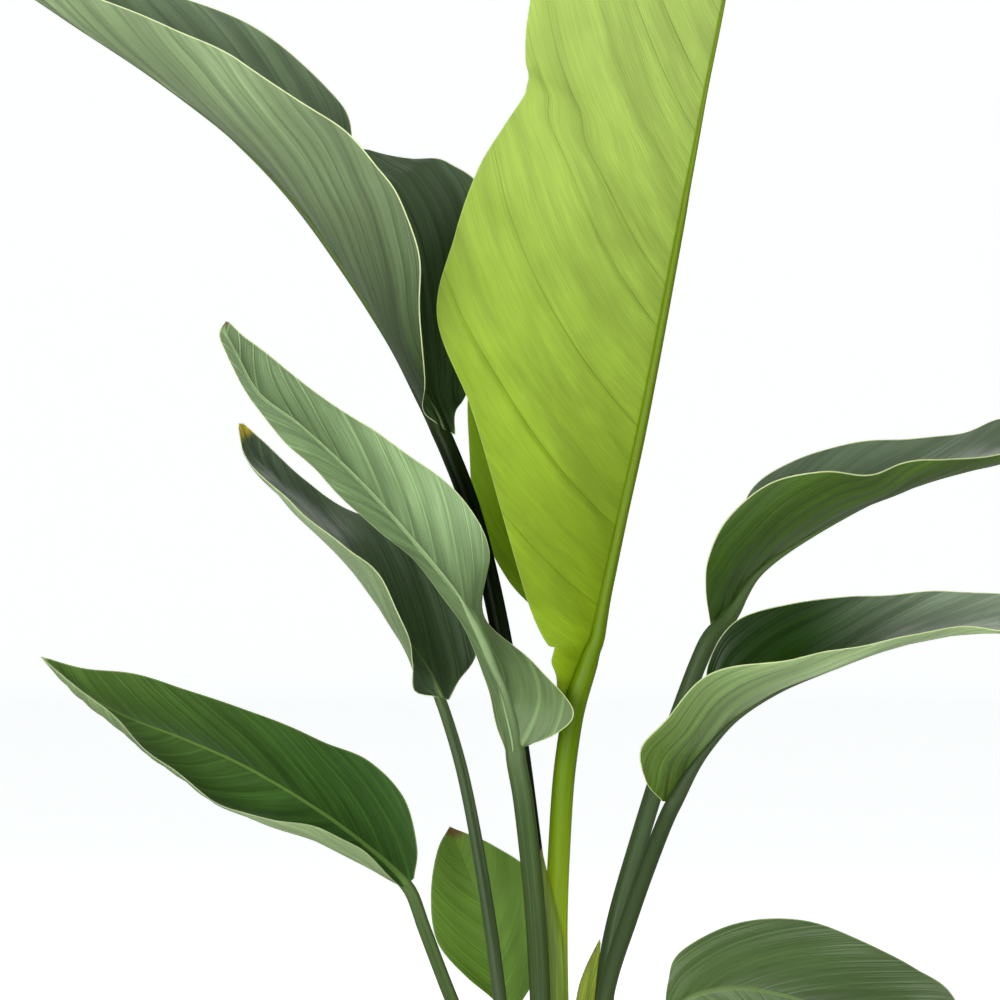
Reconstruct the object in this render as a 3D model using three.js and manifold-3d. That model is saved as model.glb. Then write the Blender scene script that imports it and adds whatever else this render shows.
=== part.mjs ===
// A potted bird of paradise: nine long-stalked leaves that grow from potting mix in a plain pot.
// Millimetres, +Z up. The origin is the centre of the pot's underside, and -Y faces the viewer.

import * as THREE from "three";
import Module from "manifold-3d";

const wasm = await Module();
wasm.setup();

// Pot
const POT_HEIGHT = 190;
const POT_TOP_RADIUS = 105;
const POT_FOOT_RADIUS = 78;
const POT_WALL = 6;
const RIM_HEIGHT = 24;
const RIM_REACH = 4;
const EDGE_ROUND = 2;
const DRAIN_RADIUS = 6;
const DRAIN_RING = 44;
const DRAIN_COUNT = 4;
const DRAIN_SIDES = 16;
const POT_SIDES = 48;
const POT_COLOUR = 0xe9e4da;

// Potting mix
const MIX_EDGE_HEIGHT = 168;
const MIX_CROWN_HEIGHT = 177;
const MIX_RINGS = 4;         // rings of its heaped top
const MIX_COLOUR = 0x4a3524;
const ROOT_DEPTH = 45;

// Leaves
const BLADE_THICKNESS = 1;
const SHEATH_THICKNESS = 1;
const ROWS_PER_STATION = 2;
const COLUMNS = 4;          // strips of one half of a blade, the first beside the midrib
const KEEL_DEPTH = 1.3;     // depth of the midrib below the blade's base, in stalk radii
const KEEL_TAPER = 1.3;     // how fast that depth fades toward the tip
const KEEL_SHARE = 0.5;     // most of a half blade's width that the midrib may take
const STALK_SINK = 0.3;     // how far the stalk's centre lies below the blade's base, in radii
const STALK_SIDES = 10;
const STALK_STEP = 22;      // length of one ring of a stalk
const TANGENT_STEP = 0.001; // share of the blade's length over which its direction is taken

// Every piece keeps this clearance to its neighbours
const GAP = 0.3;
const SEAT_GAP = 0.4;       // round a blade's base and a sheath, which are curved

// Corners that lie closer together than this are one corner
const CORNER_STEP = 0.0001;

const ROUGHNESS = { pot: 0.7, mix: 0.95, stalk: 0.5, blade: 0.45, sheath: 0.6 };

// Each leaf is read from its base to its tip. A station holds three places: on the midrib, on the
// left edge and on the right edge, left and right as seen on the upper face with the tip up.
// stalk is the stalk's route from the mix to the blade, and radii are the stalk's radius at its
// foot and at its head, and the midrib's at the tip. bellies say how far each half sags between
// midrib and edge, as a share of its width.
const LEAVES = {
  high_left: {
    colour: 0x506946,
    radii: [5.75, 4.75, 1.25],
    bellies: [0.14, 0.1],
    stalk: [[-1, 12, 175.5], [0, 11, 228.5], [-1, 10, 309], [-8.5, 11, 381.5],
      [-20.5, 13, 464.5], [-35.5, 14, 530.5]],
    stations: [
      [[-50.5, 14, 575.5], [-54, 12, 578.5], [-45, 16, 573]],
      [[-54, 14, 584.5], [-61, 3, 585], [-45, 29, 584.5]],
      [[-62, 13.5, 597.5], [-59.5, -21.5, 598.5], [-38, 43.5, 597]],
      [[-74, 12.5, 617], [-61.5, -43.5, 621], [-26.5, 47.5, 633]],
      [[-92, 10.5, 645], [-61.5, -54.5, 656], [-30.5, 33.5, 693]],
      [[-111, 8.5, 672], [-71.5, -55.5, 687], [-48, 38.5, 711]],
      [[-123.5, 7.5, 688], [-83, -55, 704], [-67.5, 46.5, 714.5]],
      [[-135, 6, 701], [-95, -55, 717], [-88, 51, 719]],
      [[-149, 4, 715], [-111, -54.5, 729], [-97, 47, 722]],
      [[-165, 2.5, 729], [-128, -53.5, 740], [-104, 38.5, 742.5]],
      [[-198.5, -2, 753.5], [-162, -50, 761.5], [-143, 24, 777]],
      [[-231, -7, 774.5], [-202.5, -42, 779.5], [-187.5, 13, 794.5]],
      [[-267, -13, 797.5], [-250, -32, 798], [-242.5, -1, 810]],
      [[-311, -20, 820.5], [-311, -20.5, 820.5], [-310.5, -19.5, 821]],
    ],
  },
  new_centre: {
    colour: 0x96c33c,
    radii: [6, 5.75, 1.5],
    bellies: [0.1, 0.07],
    stalk: [[9, -1, 177.5], [7.5, -1.5, 230], [6, -2, 285], [5.5, -2, 330],
      [7, -2, 370], [9.5, -1.5, 405]],
    stations: [
      [[10.5, -1, 440], [9, 1, 442], [6, -3.5, 441.5]],
      [[14, -1, 448.5], [11, 11, 451.5], [5.5, -8, 452]],
      [[18.5, -1, 459], [10, 25, 462], [3, -11, 459.5]],
      [[21, -1, 465.5], [8, 34, 468.5], [4.5, -13.5, 467]],
      [[24, -1, 471], [6, 40, 473], [0.5, -14.5, 469]],
      [[26.5, -1, 480], [2, 49, 477.5], [-8, -18, 487.5]],
      [[31.5, -1, 502.5], [-18.5, 64, 499], [-20, -24, 528]],
      [[38, -1, 532.5], [-35, 73, 535], [-36, -28, 583]],
      [[46.5, -1, 570], [-39, 77, 581.5], [-53.5, -30, 630]],
      [[55, -1.5, 612.5], [-35, 73.5, 638], [-45, -30.5, 670]],
      [[63.5, -2, 657.5], [-22.5, 68, 694.5], [-33.5, -29.5, 703]],
      [[68, -2, 681], [-16.5, 64, 721.5], [-20, -29, 725.5]],
      [[70.5, -2.5, 695], [-11.5, 61, 741.5], [-10.5, -28.5, 740]],
      [[73, -2.5, 707.5], [-7.5, 58.5, 757], [-8.5, -28, 749.5]],
      [[76, -3, 723], [-4, 55.5, 775], [-10, -27.5, 759]],
      [[80.5, -3.5, 747], [2, 50.5, 801], [-8.5, -26.5, 781]],
      [[89.5, -4.5, 792], [15.5, 40.5, 848], [1.5, -24.5, 831.5]],
      [[96.5, -6, 839], [35.5, 25, 889], [23, -21, 881.5]],
      [[100, -8, 886], [65.5, 7, 922], [57, -16, 920]],
      [[103, -11, 938], [102, -10.5, 938], [102, -11.5, 938.5]],
    ],
  },
  mid_left: {
    colour: 0x82a578,
    radii: [5.5, 5, 1.1],
    bellies: [0.12, 0.1],
    stalk: [[0, -20, 181], [-1, -19.5, 232.5], [-2.5, -19, 292], [-5.5, -22, 342], [-11, -26, 392]],
    stations: [
      [[-16, -28, 415], [-19.5, -25, 414.5], [-12, -26.5, 417.5]],
      [[-17, -29, 422], [-21, -9, 419.5], [6, -32, 425.5]],
      [[-20, -30.5, 435.5], [-25, 0.5, 432.5], [13.5, -29.5, 437]],
      [[-23.5, -32, 449], [-29, 6, 446], [-5, -12, 458]],
      [[-31, -34, 469.5], [-37, 8, 467.5], [-29.5, -1, 480.5]],
      [[-42, -36.5, 490], [-48, 6.5, 488.5], [-28, -11.5, 515]],
      [[-60.5, -39.5, 514], [-70.5, 2.5, 513.5], [-44.5, -20.5, 544.5]],
      [[-88.5, -43.5, 546], [-101, -5.5, 541], [-78, -22.5, 569.5]],
      [[-119, -48, 575], [-128, -19, 568.5], [-113, -31, 593]],
      [[-140.5, -51.5, 592], [-146, -33.5, 590.5], [-137.5, -42.5, 612.5]],
      [[-152, -54.5, 613], [-157.5, -47.5, 614], [-148, -50.5, 620.5]],
      [[-156.5, -56, 622], [-159.5, -54, 621.5], [-153.5, -54.5, 626]],
      [[-156, -56.5, 627], [-156.5, -56, 626.5], [-155.5, -56.5, 627]],
    ],
  },
  cupped_left: {
    colour: 0x3c5541,
    radii: [4, 2.9, 0.9],
    bellies: [0.1, 0.12],
    stalk: [[-15, -17, 180.5], [-17, -14, 232], [-22.5, -7, 291], [-30.5, 2, 347.5], [-41, 9, 402]],
    stations: [
      [[-51, 13.5, 440], [-54, 12, 441], [-48, 15, 439.5]],
      [[-54, 13.5, 446.5], [-65.5, 4.5, 444.5], [-43, 23.5, 449]],
      [[-59, 13, 455.5], [-66, -15, 459], [-34.5, 32, 461.5]],
      [[-69.5, 12.5, 470], [-68.5, -29.5, 476], [-34, 37.5, 484]],
      [[-83.5, 12, 490], [-80, -34, 499], [-47, 40, 508.5]],
      [[-100, 11, 513], [-96.5, -33, 516], [-71, 40, 525.5]],
      [[-117, 10, 531.5], [-115.5, -26, 529.5], [-97.5, 37, 534.5]],
      [[-134.5, 9, 549], [-131, -15, 542.5], [-122.5, 29, 551]],
      [[-146.5, 8.5, 562], [-149, -2.5, 560.5], [-140, 18.5, 568]],
      [[-153.5, 8, 578.5], [-154, 7.5, 577.5], [-152.5, 8.5, 579.5]],
    ],
  },
  low_left: {
    colour: 0x467d32,
    radii: [3.75, 3.25, 0.8],
    bellies: [0.24, 0.1],
    stalk: [[-18, -3, 178], [-25, -6, 226], [-37.5, -13, 269], [-49, -18, 298.5], [-60, -22, 328]],
    stations: [
      [[-68, -25, 350], [-71.5, -26, 348.5], [-65, -24, 353]],
      [[-74, -26, 356.5], [-78.5, -41, 357], [-63.5, -20, 368.5]],
      [[-84, -27.5, 365.5], [-91.5, -56.5, 371.5], [-70, -15, 392]],
      [[-101.5, -30, 379.5], [-108.5, -67.5, 380], [-88, -11, 410.5]],
      [[-122.5, -33.5, 394], [-133, -72.5, 385.5], [-111, -11, 420]],
      [[-150.5, -38, 410.5], [-161, -69, 394.5], [-142.5, -15.5, 434]],
      [[-178, -43, 423], [-188.5, -69, 414.5], [-175, -22, 445]],
      [[-204.5, -47.5, 433.5], [-209.5, -68.5, 435.5], [-202.5, -32.5, 454.5]],
      [[-226.5, -50.5, 446], [-227.5, -61.5, 448.5], [-226.5, -42.5, 457.5]],
      [[-246.5, -53, 463.5], [-246.5, -53.5, 463.5], [-246, -52.5, 463.5]],
    ],
  },
  small_back: {
    colour: 0x558232,
    radii: [3, 2.5, 0.75],
    bellies: [0.06, 0.06],
    stalk: [[-9, 23, 173.5], [-11, 23, 211.5], [-14.5, 24, 249.5]],
    stations: [
      [[-18, 25, 279], [-20, 24.5, 280], [-16, 25.5, 279]],
      [[-19.5, 26, 287], [-25.5, 22, 287.5], [-11.5, 24, 286.5]],
      [[-21.5, 27.5, 298], [-39.5, 19.5, 300], [-4.5, 23.5, 300]],
      [[-25.5, 30, 314.5], [-54.5, 21, 317], [-2.5, 25, 322.5]],
      [[-31, 33.5, 333], [-57.5, 24.5, 341.5], [-7.5, 28.5, 351.5]],
      [[-39, 38, 353], [-54, 32, 362.5], [-26.5, 35, 365]],
      [[-48, 43, 373.5], [-48.5, 43, 373], [-47, 43, 373]],
    ],
  },
  upper_right: {
    colour: 0x325028,
    radii: [5.25, 4.5, 1],
    bellies: [0.1, 0.14],
    stalk: [[26, 11, 175.5], [27, 12, 228.5], [30, 13, 288.5], [35, 15, 323.5],
      [47.5, 20, 367.5], [68, 30, 430.5]],
    stations: [
      [[85, 36, 474.5], [90, 37, 474.5], [84.5, 35, 477]],
      [[93, 36.5, 483], [96.5, 53.5, 496.5], [81.5, 26.5, 494.5]],
      [[99, 37, 493], [100, 63, 522], [82.5, 16, 511.5]],
      [[107.5, 38, 503.5], [107, 59, 546], [91.5, 8, 531]],
      [[122.5, 39, 514.5], [129, 63, 560.5], [112.5, 3, 548]],
      [[145, 40, 528], [159, 69, 569.5], [138.5, -1, 554.5]],
      [[170.5, 41, 541], [188.5, 74, 571.5], [164.5, -1, 553]],
      [[197.5, 42, 551], [216, 72, 575], [188, 5, 560.5]],
      [[228.5, 43.5, 560.5], [241, 64.5, 582.5], [220.5, 16.5, 561.5]],
      [[256, 45, 568], [265.5, 56, 580.5], [252.5, 31, 568.5]],
      [[282, 46.5, 573.5], [282, 47, 574], [281, 46, 573.5]],
    ],
  },
  lower_right: {
    colour: 0x6e9650,
    radii: [4.75, 4.1, 1],
    bellies: [0.12, 0.08],
    stalk: [[22.5, -9, 179], [24, -9, 231.5], [29.5, -10, 291], [42, -16, 333.5],
      [54.5, -24, 369.5]],
    stations: [
      [[62, -28, 392], [64.5, -27, 391], [57.5, -29.5, 391.5]],
      [[66, -29, 400.5], [75.5, -7, 409.5], [49, -42, 402]],
      [[70.5, -30, 407.5], [81.5, 6, 432], [46, -54, 419.5]],
      [[79, -31, 418.5], [83, 7, 458], [59, -69, 434.5]],
      [[94, -32.5, 433.5], [95.5, 6.5, 479.5], [77, -78.5, 455]],
      [[115.5, -34, 447], [124, 8, 488], [103.5, -84, 462]],
      [[142, -35.5, 458], [154, 8.5, 491.5], [131.5, -83.5, 465.5]],
      [[170, -37, 469.5], [184, 3, 493.5], [160.5, -79, 472]],
      [[200, -38.5, 476], [213, -5.5, 494], [193, -71.5, 477.5]],
      [[231, -40, 478], [243.5, -18, 492], [224.5, -61, 477]],
      [[258, -41.5, 475.5], [266, -31.5, 485], [255, -51.5, 476]],
      [[282.5, -43, 471.5], [282.5, -42.5, 472], [282, -43.5, 471.5]],
    ],
  },
  low_right: {
    colour: 0x466e3c,
    radii: [4.5, 3.75, 1],
    bellies: [0.08, 0.1],
    stalk: [[35, -3, 178], [37.5, -6, 216], [45.5, -12, 254]],
    stations: [
      [[60.5, -21, 283.5], [59, -19.5, 285.5], [62.5, -22.5, 282]],
      [[67.5, -24, 291.5], [61, -13, 300.5], [71, -35, 280]],
      [[79, -28, 297], [67.5, -9, 315], [83, -51, 271.5]],
      [[96.5, -34, 299.5], [94, -8, 329], [101.5, -64, 267]],
      [[118.5, -42, 296.5], [127, -14, 331.5], [122.5, -74, 262]],
      [[142.5, -51, 289], [156.5, -26, 322], [145, -80, 255.5]],
      [[167, -60.5, 278], [181, -41.5, 310.5], [169, -82.5, 250.5]],
      [[190.5, -70, 264.5], [200, -58, 295.5], [192, -83, 246.5]],
      [[212.5, -79, 247], [213.5, -78.5, 247.5], [212.5, -79.5, 246.5]],
    ],
  },
};

const SHEATHS = {
  centre_sheath: {
    colour: 0x788c3c,
    bellies: [0.12, 0.12],
    stations: [
      [[3, -10.5, 172], [14, -7, 171], [0, 0, 170]],
      [[2.5, -10, 201.5], [13.5, -7, 201], [-0.5, 0, 200]],
      [[2, -10, 236.5], [12.5, -7.5, 236], [-1, -1, 235]],
      [[1, -10, 266], [11.5, -8, 266], [-1.5, -3, 265.5]],
      [[0.5, -10.5, 291], [11, -8.5, 291], [-2.5, -5.5, 290.5]],
      [[0, -11, 310], [11, -9, 310], [-3, -7.5, 310]],
      [[-1, -11.5, 328.5], [7.5, -9.5, 328], [-3, -9.5, 328.5]],
      [[-1.5, -12.5, 348.5], [2.5, -10.5, 348], [-3, -11.5, 348.5]],
      [[-2, -13, 367], [-2, -13, 367], [-2.5, -13, 367]],
    ],
  },
  right_sheath: {
    colour: 0x96a050,
    bellies: [0.12, 0.12],
    stations: [
      [[18, 16, 167.5], [15.5, 7, 169], [24.5, 23, 166]],
      [[17.5, 16, 197.5], [15, 7, 199], [24, 23, 196.5]],
      [[17.5, 16.5, 232.5], [14.5, 7.5, 234], [24, 23.5, 231.5]],
      [[18, 17.5, 263], [14, 9, 264], [24.5, 24, 262]],
      [[20, 19, 288], [16, 11, 289], [25.5, 24.5, 287]],
      [[23.5, 21, 303], [20, 15, 303], [27, 24, 303]],
      [[28, 22.5, 318], [27.5, 22, 317.5], [28.5, 23, 317.5]],
    ],
  },
};

// The place on a smooth curve through the given places, with t from 0 to 1.
function smooth(places) {
  const curve = new THREE.CatmullRomCurve3(
    places.map((place) => new THREE.Vector3(...place)), false, "catmullrom", 0.5);
  return (t) => curve.getPoint(t);
}

// A closed mesh from triangles of places. Places that coincide become one vertex.
function closedMesh(triangles) {
  const index = new Map();
  const positions = [];
  const faces = [];
  const vertexOf = (place) => {
    const key = place.toArray().map((value) => Math.round(value / CORNER_STEP)).join();
    if (!index.has(key)) {
      index.set(key, index.size);
      positions.push(...place.toArray());
    }
    return index.get(key);
  };
  for (const triangle of triangles) {
    const [a, b, c] = triangle.map(vertexOf);
    if (a !== b && b !== c && c !== a) faces.push(a, b, c);
  }
  const geometry = new THREE.BufferGeometry();
  geometry.setAttribute("position", new THREE.Float32BufferAttribute(positions, 3));
  geometry.setIndex(faces);
  return geometry;
}

// The shares of a half blade's width at which its columns lie, with the midrib's edge first.
function columnShares(keelShare) {
  const shares = [0, keelShare];
  for (let i = 1; i < COLUMNS; i += 1) {
    shares.push(keelShare + (1 - keelShare) * i / (COLUMNS - 1));
  }
  return shares;
}

// The rows of a blade, from its left edge over the midrib to its right edge. Each half sags
// toward the underside between the midrib and its edge.
function bladeRows({ stations, bellies, radii }) {
  const curves = [0, 1, 2].map((which) => smooth(stations.map((station) => station[which])));
  const [rib, left, right] = curves;
  const rowCount = ROWS_PER_STATION * (stations.length - 1);
  const rows = [];
  for (let i = 0; i <= rowCount; i += 1) {
    const t = i / rowCount;
    const centre = rib(t);
    const along = rib(Math.min(t + TANGENT_STEP, 1))
      .sub(rib(Math.max(t - TANGENT_STEP, 0))).normalize();
    const keelRadius = radii ? THREE.MathUtils.lerp(radii[1], radii[2], t) : 0;
    const halves = [[left, -1, bellies[0]], [right, 1, bellies[1]]].map(([edge, side, belly]) => {
      const chord = edge(t).sub(centre);
      const width = chord.length();
      const up = new THREE.Vector3().crossVectors(chord, along).multiplyScalar(side).normalize();
      const keelShare = radii ? Math.min(KEEL_SHARE, keelRadius / width) : 1 / COLUMNS;
      return columnShares(keelShare).map((share) => centre.clone()
        .addScaledVector(chord, share)
        .addScaledVector(up, -width * belly * 4 * share * (1 - share)));
    });
    const row = [...halves[0].reverse(), ...halves[1].slice(1)];
    rows.push(i === rowCount ? row.map(() => centre.clone()) : row);
  }
  return rows;
}

// The upward direction at each place of a blade, from the faces round it.
function uprights(rows) {
  return rows.map((row, i) => row.map((place, j) => {
    const last = i === rows.length - 1;
    const before = last ? rows[i - 1][j] : rows[Math.max(i - 1, 0)][j];
    const after = last ? place : rows[i + 1][j];
    const reference = last ? rows[i - 1] : row;
    const across = reference[Math.min(j + 1, row.length - 1)].clone()
      .sub(reference[Math.max(j - 1, 0)]);
    return across.cross(after.clone().sub(before)).normalize();
  }));
}

// A thin closed solid on both sides of the rows, with a keel below its middle column.
function sheetGeometry(rows, thickness, keelDepth) {
  const up = uprights(rows);
  const middle = (rows[0].length - 1) / 2;
  const last = rows.length - 1;
  const upper = rows.map((row, i) => row.map((place, j) =>
    place.clone().addScaledVector(up[i][j], thickness / 2)));
  const lower = rows.map((row, i) => row.map((place, j) =>
    place.clone().addScaledVector(up[i][j],
      -thickness / 2 - (j === middle ? keelDepth(i / last) : 0))));
  const triangles = [];
  const quad = (a, b, c, d) => triangles.push([a, b, c], [a, c, d]);
  const columns = rows[0].length - 1;
  for (let i = 0; i < last; i += 1) {
    for (let j = 0; j < columns; j += 1) {
      quad(upper[i][j], upper[i][j + 1], upper[i + 1][j + 1], upper[i + 1][j]);
      triangles.push([lower[i][j], lower[i + 1][j + 1], lower[i][j + 1]]);
      triangles.push([lower[i][j], lower[i + 1][j], lower[i + 1][j + 1]]);
    }
    quad(lower[i][0], upper[i][0], upper[i + 1][0], lower[i + 1][0]);
    quad(upper[i][columns], lower[i][columns], lower[i + 1][columns], upper[i + 1][columns]);
  }
  for (let j = 0; j < columns; j += 1) {
    quad(lower[0][j], lower[0][j + 1], upper[0][j + 1], upper[0][j]);
    quad(upper[last][j], upper[last][j + 1], lower[last][j + 1], lower[last][j]);
  }
  return closedMesh(triangles);
}

function bladeGeometry(leaf) {
  const [, head, tip] = leaf.radii;
  const keelDepth = (t) =>
    KEEL_DEPTH * THREE.MathUtils.lerp(head, tip, t) * (1 - t) ** KEEL_TAPER;
  return sheetGeometry(bladeRows(leaf), BLADE_THICKNESS, keelDepth);
}

// A round rod along a route, with a radius that changes evenly from its foot to its head.
function rodGeometry(route, foot, head) {
  const curve = new THREE.CatmullRomCurve3(route, false, "catmullrom", 0.5);
  const steps = Math.round(curve.getLength() / STALK_STEP);
  const geometry = new THREE.CylinderGeometry(1, 1, 1, STALK_SIDES, steps);
  const rod = closedMesh(trianglesOf(geometry));
  const places = rod.getAttribute("position");
  const place = new THREE.Vector3();
  const frontward = new THREE.Vector3(0, -1, 0);
  for (let i = 0; i < places.count; i += 1) {
    place.fromBufferAttribute(places, i);
    const t = place.y + 0.5;
    const radius = THREE.MathUtils.lerp(foot, head, t);
    const tangent = curve.getTangentAt(t);
    const sideways = new THREE.Vector3().crossVectors(frontward, tangent).normalize();
    const outward = new THREE.Vector3().crossVectors(sideways, tangent);
    const moved = curve.getPointAt(t)
      .addScaledVector(sideways, place.x * radius)
      .addScaledVector(outward, place.z * radius);
    places.setXYZ(i, moved.x, moved.y, moved.z);
  }
  return rod;
}

function trianglesOf(geometry) {
  const flat = geometry.index ? geometry.toNonIndexed() : geometry;
  const places = flat.getAttribute("position");
  const corners = Array.from({ length: places.count }, (_, i) =>
    new THREE.Vector3().fromBufferAttribute(places, i));
  return Array.from({ length: corners.length / 3 }, (_, i) => corners.slice(3 * i, 3 * i + 3));
}

// A stalk's route: down into the mix at its foot, and up to the blade's base.
function stalkRoute(leaf, deeper = 0) {
  const route = leaf.stalk.map((place) => new THREE.Vector3(...place));
  const foot = route[0].clone();
  foot.z -= ROOT_DEPTH + deeper;
  const rows = bladeRows(leaf);
  const middle = (rows[0].length - 1) / 2;
  const base = rows[0][middle].clone();
  const head = base.addScaledVector(uprights(rows)[0][middle], -STALK_SINK * leaf.radii[1]);
  return [foot, ...route, head];
}

// The stalk's head is cut clear of the blade that it carries.
function stalkGeometry(leaf) {
  const rod = solidOf(rodGeometry(stalkRoute(leaf), leaf.radii[0], leaf.radii[1]));
  return geometryOf(largestBody(rod.subtract(grown(solidOf(bladeGeometry(leaf))))));
}

function sheathGeometry(sheath) {
  return sheetGeometry(bladeRows(sheath), SHEATH_THICKNESS, () => 0);
}

function solidOf(geometry) {
  const mesh = closedMesh(trianglesOf(geometry));
  return new wasm.Manifold(new wasm.Mesh({
    numProp: 3,
    vertProperties: new Float32Array(mesh.getAttribute("position").array),
    triVerts: new Uint32Array(mesh.index.array),
  }));
}

function geometryOf(solid) {
  const mesh = solid.getMesh();
  const geometry = new THREE.BufferGeometry();
  geometry.setAttribute("position", new THREE.BufferAttribute(mesh.vertProperties, 3));
  geometry.setIndex(new THREE.BufferAttribute(mesh.triVerts, 1));
  return geometry;
}

// A solid made larger all round by the seat gap, for cutting its seat in a neighbour.
function grown(solid) {
  const steps = [[0, 0, 0]];
  for (const axis of [0, 1, 2]) {
    for (const side of [-SEAT_GAP, SEAT_GAP]) {
      steps.push([0, 1, 2].map((index) => (index === axis ? side : 0)));
    }
  }
  return wasm.Manifold.union(steps.map((step) => solid.translate(step)));
}

// The largest of a solid's separate bodies: crumbs left between two cuts are dropped.
function largestBody(solid) {
  return solid.decompose().reduce((kept, body) => (body.volume() > kept.volume() ? body : kept));
}

// A solid turned round the +Z axis, from an outline of [radius, height] places.
function turned(outline) {
  const points = outline.map(([radius, height]) => new THREE.Vector2(radius, height));
  return new THREE.LatheGeometry(points, POT_SIDES).rotateX(Math.PI / 2);
}

// The radius of the pot's outside at a height, below its rim.
function outsideRadius(height) {
  return THREE.MathUtils.lerp(POT_FOOT_RADIUS, POT_TOP_RADIUS - RIM_REACH, height / POT_HEIGHT);
}

function potGeometry() {
  const insideTop = outsideRadius(POT_HEIGHT) - POT_WALL;
  const insideFloor = outsideRadius(POT_WALL) - POT_WALL;
  const rimFoot = POT_HEIGHT - RIM_HEIGHT;
  let pot = solidOf(turned([
    [0, 0],
    [POT_FOOT_RADIUS - EDGE_ROUND, 0],
    [POT_FOOT_RADIUS, EDGE_ROUND],
    [outsideRadius(rimFoot - RIM_REACH), rimFoot - RIM_REACH],
    [POT_TOP_RADIUS, rimFoot],
    [POT_TOP_RADIUS, POT_HEIGHT - EDGE_ROUND],
    [POT_TOP_RADIUS - EDGE_ROUND, POT_HEIGHT],
    [insideTop + EDGE_ROUND, POT_HEIGHT],
    [insideTop, POT_HEIGHT - EDGE_ROUND],
    [insideFloor, POT_WALL],
    [0, POT_WALL],
  ]));
  for (let i = 0; i < DRAIN_COUNT; i += 1) {
    const angle = 2 * Math.PI * (i + 0.5) / DRAIN_COUNT;
    const drill = new THREE.CylinderGeometry(
      DRAIN_RADIUS, DRAIN_RADIUS, 3 * POT_WALL, DRAIN_SIDES);
    drill.rotateX(Math.PI / 2);
    drill.translate(DRAIN_RING * Math.cos(angle), DRAIN_RING * Math.sin(angle), POT_WALL / 2);
    pot = pot.subtract(solidOf(drill));
  }
  return geometryOf(pot);
}

// The mix fills the pot to below its rim, heaped a little in the middle, with a hole for each
// stalk and sheath.
function mixGeometry() {
  const insideAt = (height) => {
    const share = (height - POT_WALL) / (POT_HEIGHT - EDGE_ROUND - POT_WALL);
    const floor = outsideRadius(POT_WALL) - POT_WALL;
    return THREE.MathUtils.lerp(floor, outsideRadius(POT_HEIGHT) - POT_WALL, share) - GAP;
  };
  const floor = POT_WALL + GAP;
  const outline = [[0, floor], [insideAt(floor), floor]];
  for (let ring = MIX_RINGS; ring >= 0; ring -= 1) {
    const share = ring / MIX_RINGS;
    outline.push([
      insideAt(MIX_EDGE_HEIGHT) * share,
      THREE.MathUtils.lerp(MIX_CROWN_HEIGHT, MIX_EDGE_HEIGHT, share * share),
    ]);
  }
  let mix = solidOf(turned(outline));
  for (const leaf of Object.values(LEAVES)) {
    const [foot, head] = leaf.radii;
    mix = mix.subtract(solidOf(rodGeometry(stalkRoute(leaf, GAP), foot + GAP, head + GAP)));
  }
  for (const sheath of Object.values(SHEATHS)) {
    mix = mix.subtract(grown(solidOf(sheathGeometry(sheath))));
  }
  return geometryOf(largestBody(mix));
}

function piece(name, geometry, colour, roughness) {
  const material = new THREE.MeshStandardMaterial({ color: colour, roughness });
  const mesh = new THREE.Mesh(geometry, material);
  mesh.name = name;
  return mesh;
}

const plant = new THREE.Group();
plant.add(piece("pot", potGeometry(), POT_COLOUR, ROUGHNESS.pot));
plant.add(piece("potting_mix", mixGeometry(), MIX_COLOUR, ROUGHNESS.mix));
for (const [name, leaf] of Object.entries(LEAVES)) {
  plant.add(piece(`${name}_stalk`, stalkGeometry(leaf), leaf.colour, ROUGHNESS.stalk));
  plant.add(piece(`${name}_blade`, bladeGeometry(leaf), leaf.colour, ROUGHNESS.blade));
}
for (const [name, sheath] of Object.entries(SHEATHS)) {
  plant.add(piece(name, sheathGeometry(sheath), sheath.colour, ROUGHNESS.sheath));
}

export default plant;
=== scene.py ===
"""A potted bird of paradise: nine folded leaves on long stalks, in bark mix, in a plain pot."""

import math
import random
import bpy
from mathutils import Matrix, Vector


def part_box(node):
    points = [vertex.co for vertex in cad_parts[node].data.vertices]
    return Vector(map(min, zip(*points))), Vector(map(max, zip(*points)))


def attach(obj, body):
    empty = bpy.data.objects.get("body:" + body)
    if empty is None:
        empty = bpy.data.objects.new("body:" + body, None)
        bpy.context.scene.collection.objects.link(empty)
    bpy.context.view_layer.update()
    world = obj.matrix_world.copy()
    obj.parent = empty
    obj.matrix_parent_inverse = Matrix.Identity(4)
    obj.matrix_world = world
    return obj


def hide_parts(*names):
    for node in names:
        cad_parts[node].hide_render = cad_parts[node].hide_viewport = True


bl_info = {
    "name": "Potted Bird of Paradise",
    "version": (1, 0, 0),
    "blender": (4, 5, 0),
    "location": "View3D > Sidebar > Plant",
    "description": "Builds the leaves, stalks, sheaths, potting mix and pot of a bird of paradise",
    "category": "Add Mesh",
}

import bpy
import numpy as np
from bpy.props import FloatProperty, FloatVectorProperty, IntProperty, PointerProperty
from mathutils import Matrix, Vector, noise

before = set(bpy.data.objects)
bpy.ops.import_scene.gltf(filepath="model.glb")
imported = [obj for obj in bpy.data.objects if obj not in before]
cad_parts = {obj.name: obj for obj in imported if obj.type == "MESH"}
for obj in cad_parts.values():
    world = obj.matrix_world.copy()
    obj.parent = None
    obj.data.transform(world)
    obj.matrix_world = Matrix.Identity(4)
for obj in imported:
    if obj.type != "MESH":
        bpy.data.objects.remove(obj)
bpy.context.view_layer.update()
POT_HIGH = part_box("pot")[1]
MIX_LOW, MIX_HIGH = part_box("potting_mix")
MIX_RADIUS = (MIX_HIGH.x - MIX_LOW.x) / 2
MM = 0.001
UV_UNIT = 0.1               # metres of the surface in one unit of a UV map
CURVE_SAMPLES = 600         # places at which the length of a curve is measured

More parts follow.
